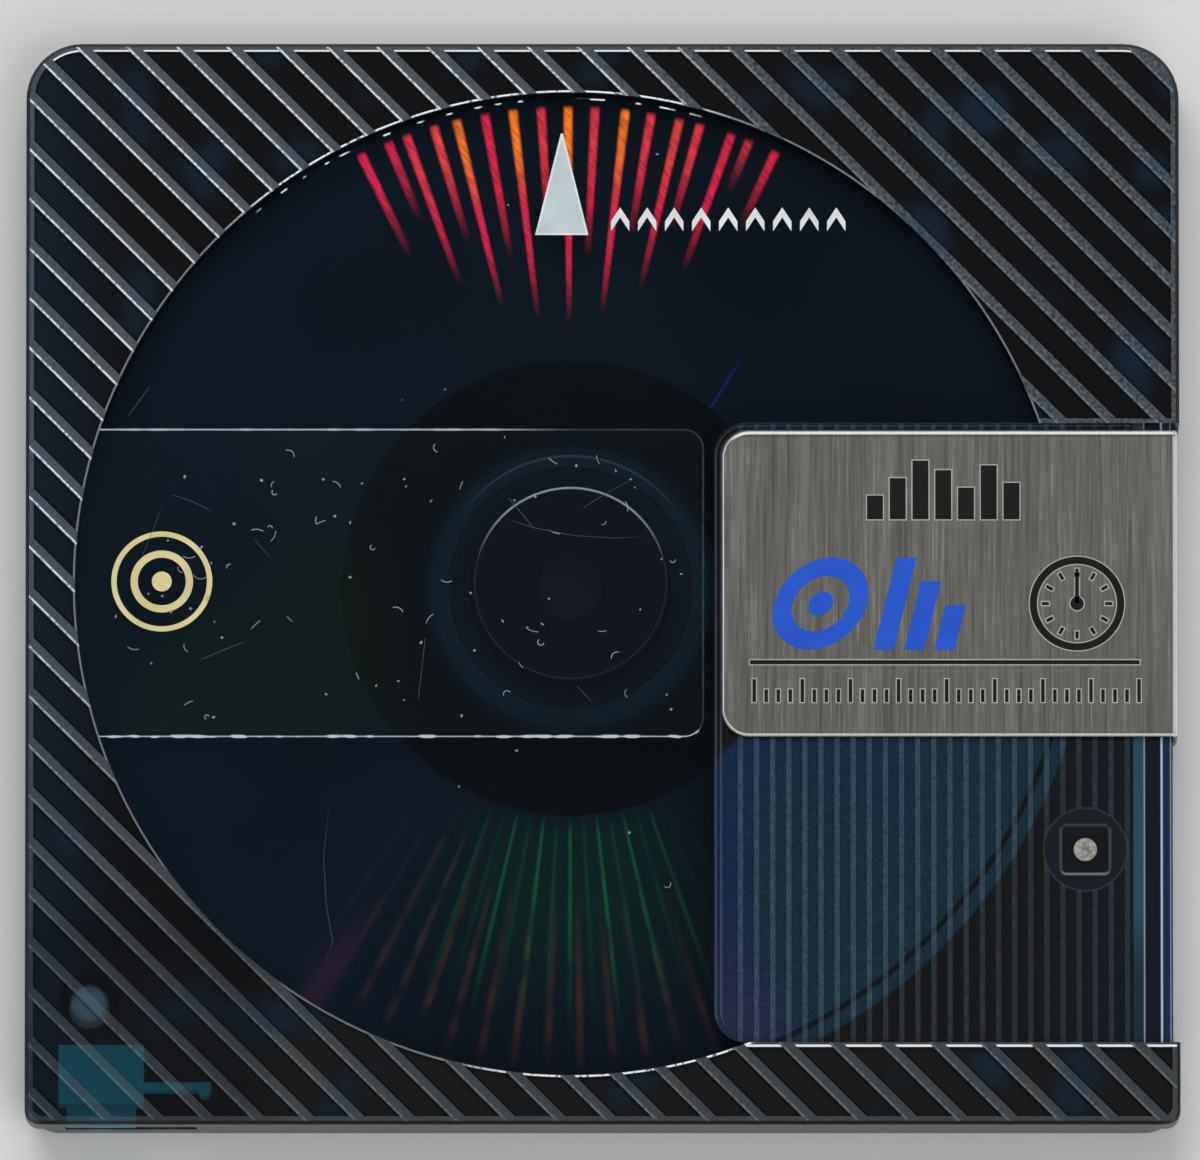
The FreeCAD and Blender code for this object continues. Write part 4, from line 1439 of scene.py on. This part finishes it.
@dataclass
class ShutterSet:
    """The shutter with its marks, its guide and its lock.

    Attributes:
        steel: the finish of the shutter.
        guide, lock: the finishes of the guide and the lock.
        levels: the level bars.
        dial: the rim and the knob of the dial.
        hour_mark: inner end, outer end and width of an hour's mark on the dial.
        hand: the same of the dial's hand.
        rule, scale: the rule and the scale behind it.
        leaning_disc, leaning_bars: the blue sign.
        halo: how far the pale edge of the black marks stands out.
        lift: how far black and blue marks stand over the plate.
    """

    steel: BrushedSteel = BrushedSteel()
    guide: Moulded = Moulded("guide_plastic", display(40, 44, 48))
    lock: Moulded = Moulded("lock_plastic", display(44, 48, 52))
    levels: BarRow = BarRow(18.5, 4.0, 1.42, 1.0, (1.5, 2.6, 3.7, 3.1, 2.0, 3.4, 2.3))
    dial: RingSign = RingSign(31.6, -1.3, ((2.95, 2.5), (0.42, SMALLEST_HOLE)))
    hour_mark: tuple[float, float, float] = (1.75, 2.2, 0.2)
    hand: tuple[float, float, float] = (0.0, 1.9, 0.24)
    rule: BarRow = BarRow(11.2, -5.12, 0.0, 24.3, (0.26,))
    scale: BarRow = BarRow(11.35, -7.5, 0.75, 0.22, (1.45, 0.8, 0.8, 0.8) * 8 + (1.45,))
    leaning_disc: RingSign = RingSign(15.6, -1.3, ((2.9, 1.75), (0.75, SMALLEST_HOLE)), 0.25)
    leaning_bars: BarRow = BarRow(18.9, -4.2, 1.9, 1.25, (5.8, 4.3, 2.8), 0.25)
    halo: float = 0.07
    lift: float = 0.004

    def build(self) -> None:
        """Dress the nodes and add the printed marks."""
        dress("shutter", self.steel.made())
        dress("shutter_guide", self.guide.made())
        dress("shutter_lock", self.lock.made())
        for marks, add, ink in (
            (Marks("plate_halo", SHUTTER_FACE, self.halo), self.black_marks, Ink.HALO),
            (Marks("plate_marks_black", SHUTTER_FACE + self.lift), self.black_marks, Ink.BLACK),
            (Marks("plate_marks_blue", SHUTTER_FACE + self.lift), self.blue_marks, Ink.BLUE),
        ):
            add(marks)
            marks.build(ink, "shutter")

    def black_marks(self, marks: Marks) -> None:
        """Add the level bars, the dial, the rule and the scale.

        Args:
            marks: the piece that they go into.
        """
        self.levels.add_to(marks)
        self.dial.add_to(marks)
        for hour in range(12):
            marks.spoke(self.dial.across, self.dial.along, math.tau * hour / 12, *self.hour_mark)
        marks.spoke(self.dial.across, self.dial.along, 0.0, *self.hand)
        self.rule.add_to(marks)
        self.scale.add_to(marks)

    def blue_marks(self, marks: Marks) -> None:
        """Add the leaning disc and the leaning bars beside it."""
        self.leaning_disc.add_to(marks)
        self.leaning_bars.add_to(marks)


@dataclass
class DiscSet:
    """The disc, its film and its clamping plate.

    Attributes:
        plastic: the disc's finish.
        film: the recording layer's finish.
        plate: the clamping plate's finish.
    """

    plastic: ClearDisc = ClearDisc()
    film: Film = Film()
    plate: PressedSteel = PressedSteel()

    def build(self) -> None:
        """Dress the nodes."""
        dress("disc", self.plastic.made())
        dress("recording_layer", self.film.made())
        dress("clamping_plate", self.plate.made())


@dataclass
class ProtectTab:
    """The write-protect tab.

    Attributes:
        plastic: its finish, with a little light of its own because it shows through the smoke.
    """

    plastic: Moulded = Moulded("teal_plastic", display(22, 148, 172), glow=0.14)

    def build(self) -> None:
        """Dress the node."""
        dress("write_protect_tab", self.plastic.made())


@dataclass(frozen=True)
class Softbox:
    """A square lamp.

    Attributes:
        name: its name.
        place: its place in metres.
        side: its side in metres.
        power: its power in watts.
    """

    name: str
    place: tuple[float, float, float]
    side: float
    power: float

    def build(self) -> None:
        """Make the lamp, aimed at the cartridge."""
        lamp = bpy.data.lights.new(self.name, "AREA")
        lamp.size = self.side
        lamp.energy = self.power
        stand = bpy.data.objects.new(self.name, lamp)
        stand.location = self.place
        stand.rotation_euler = (-Vector(self.place)).to_track_quat("-Z", "Y").to_euler()
        bpy.context.scene.collection.objects.link(stand)


@dataclass
class Studio:
    """The floor, the lamps, the world and the camera.

    Attributes:
        floor_reach: half the floor's side in metres.
        floor_lines: how many lines its grid has each way.
        floor_level: its height in metres, a little under the cartridge.
        floor_colour: the floor's colour.
        ambient: the strength of the light from all round.
        lamps: the lamps.
        elevation: the camera's height above the horizon in degrees.
        distance: the camera's distance in metres.
        view_width: the width in metres that the picture takes in at the cartridge.
        aim: the point in millimetres at the middle of the picture.
        near: the nearest thing that the camera sees, in metres.
    """

    floor_reach: float = 4.0
    floor_lines: int = 9
    floor_level: float = -2e-5
    floor_colour: Colour = display(204, 205, 206)
    ambient: float = 0.44
    lamps: tuple[Softbox, ...] = (
        Softbox("key_lamp", (-0.16, 0.62, 0.78), 0.7, 6.0),
        Softbox("fill_lamp", (0.4, -0.4, 0.85), 0.8, 4.2),
    )
    elevation: float = 82.5
    distance: float = 2.4
    view_width: float = 0.0749
    aim: tuple[float, float, float] = (1.84, 0.31, 4.0)
    near: float = 0.05

    def build(self) -> None:
        """Set up everything that isn't part of the cartridge."""
        self.floor()
        self.world()
        for lamp in self.lamps:
            lamp.build()
        self.camera()
        bpy.context.scene.view_settings.view_transform = "Standard"

    def floor(self) -> None:
        """Make the plain pale floor, a flat square grid of even steps."""
        side = np.linspace(-self.floor_reach, self.floor_reach, self.floor_lines)
        across, along = np.meshgrid(side, side)
        points = np.stack([across, along, np.full_like(across, self.floor_level)], axis=2).reshape(-1, 3)
        corner = np.arange(across.size).reshape(across.shape)
        faces = np.stack([corner[:-1, :-1], corner[:-1, 1:], corner[1:, 1:], corner[1:, :-1]], axis=2)
        mesh = bpy.data.meshes.new("floor")
        mesh.from_pydata(points.tolist(), [], faces.reshape(-1, 4).tolist())
        paint = Paint("floor_card")
        x, y, _ = paint.place
        cloud = paint.noise(x * 0.01, y * 0.01)
        base = paint.scaled(self.floor_colour, 0.97 + cloud * 0.06)
        mesh.materials.append(paint.finished(paint.surface(Base_Color=base, Roughness=0.7)))
        floor = bpy.data.objects.new("floor", mesh)
        bpy.context.scene.collection.objects.link(floor)

    def world(self) -> None:
        """Light the scene evenly from all round."""
        world = bpy.data.worlds.new("studio")
        world.use_nodes = True
        background = world.node_tree.nodes["Background"]
        background.inputs["Color"].default_value = (1.0, 1.0, 1.0, 1.0)
        background.inputs["Strength"].default_value = self.ambient
        bpy.context.scene.world = world

    def camera(self) -> None:
        """Set the camera at the photograph's angle, with a long lens."""
        lens = bpy.data.cameras.new("camera")
        lens.lens = lens.sensor_width * self.distance / self.view_width
        lens.clip_start = self.near
        eye = bpy.data.objects.new("camera", lens)
        slope = math.radians(self.elevation)
        back = Vector((0.0, -math.cos(slope), math.sin(slope)))
        eye.location = Vector(self.aim) * MILLIMETRE + back * self.distance
        eye.rotation_euler = (-back).to_track_quat("-Z", "Y").to_euler()
        bpy.context.scene.collection.objects.link(eye)
        bpy.context.scene.camera = eye


def main() -> None:
    """Build the studio and dress each part of the cartridge in turn."""
    logging.basicConfig(level=logging.INFO, format="%(name)s: %(message)s")
    for assembly in (Studio(), Housing(), ShutterSet(), DiscSet(), ProtectTab()):
        assembly.build()
        log.info("%s done", type(assembly).__name__)


if __name__ == "__main__":
    main()
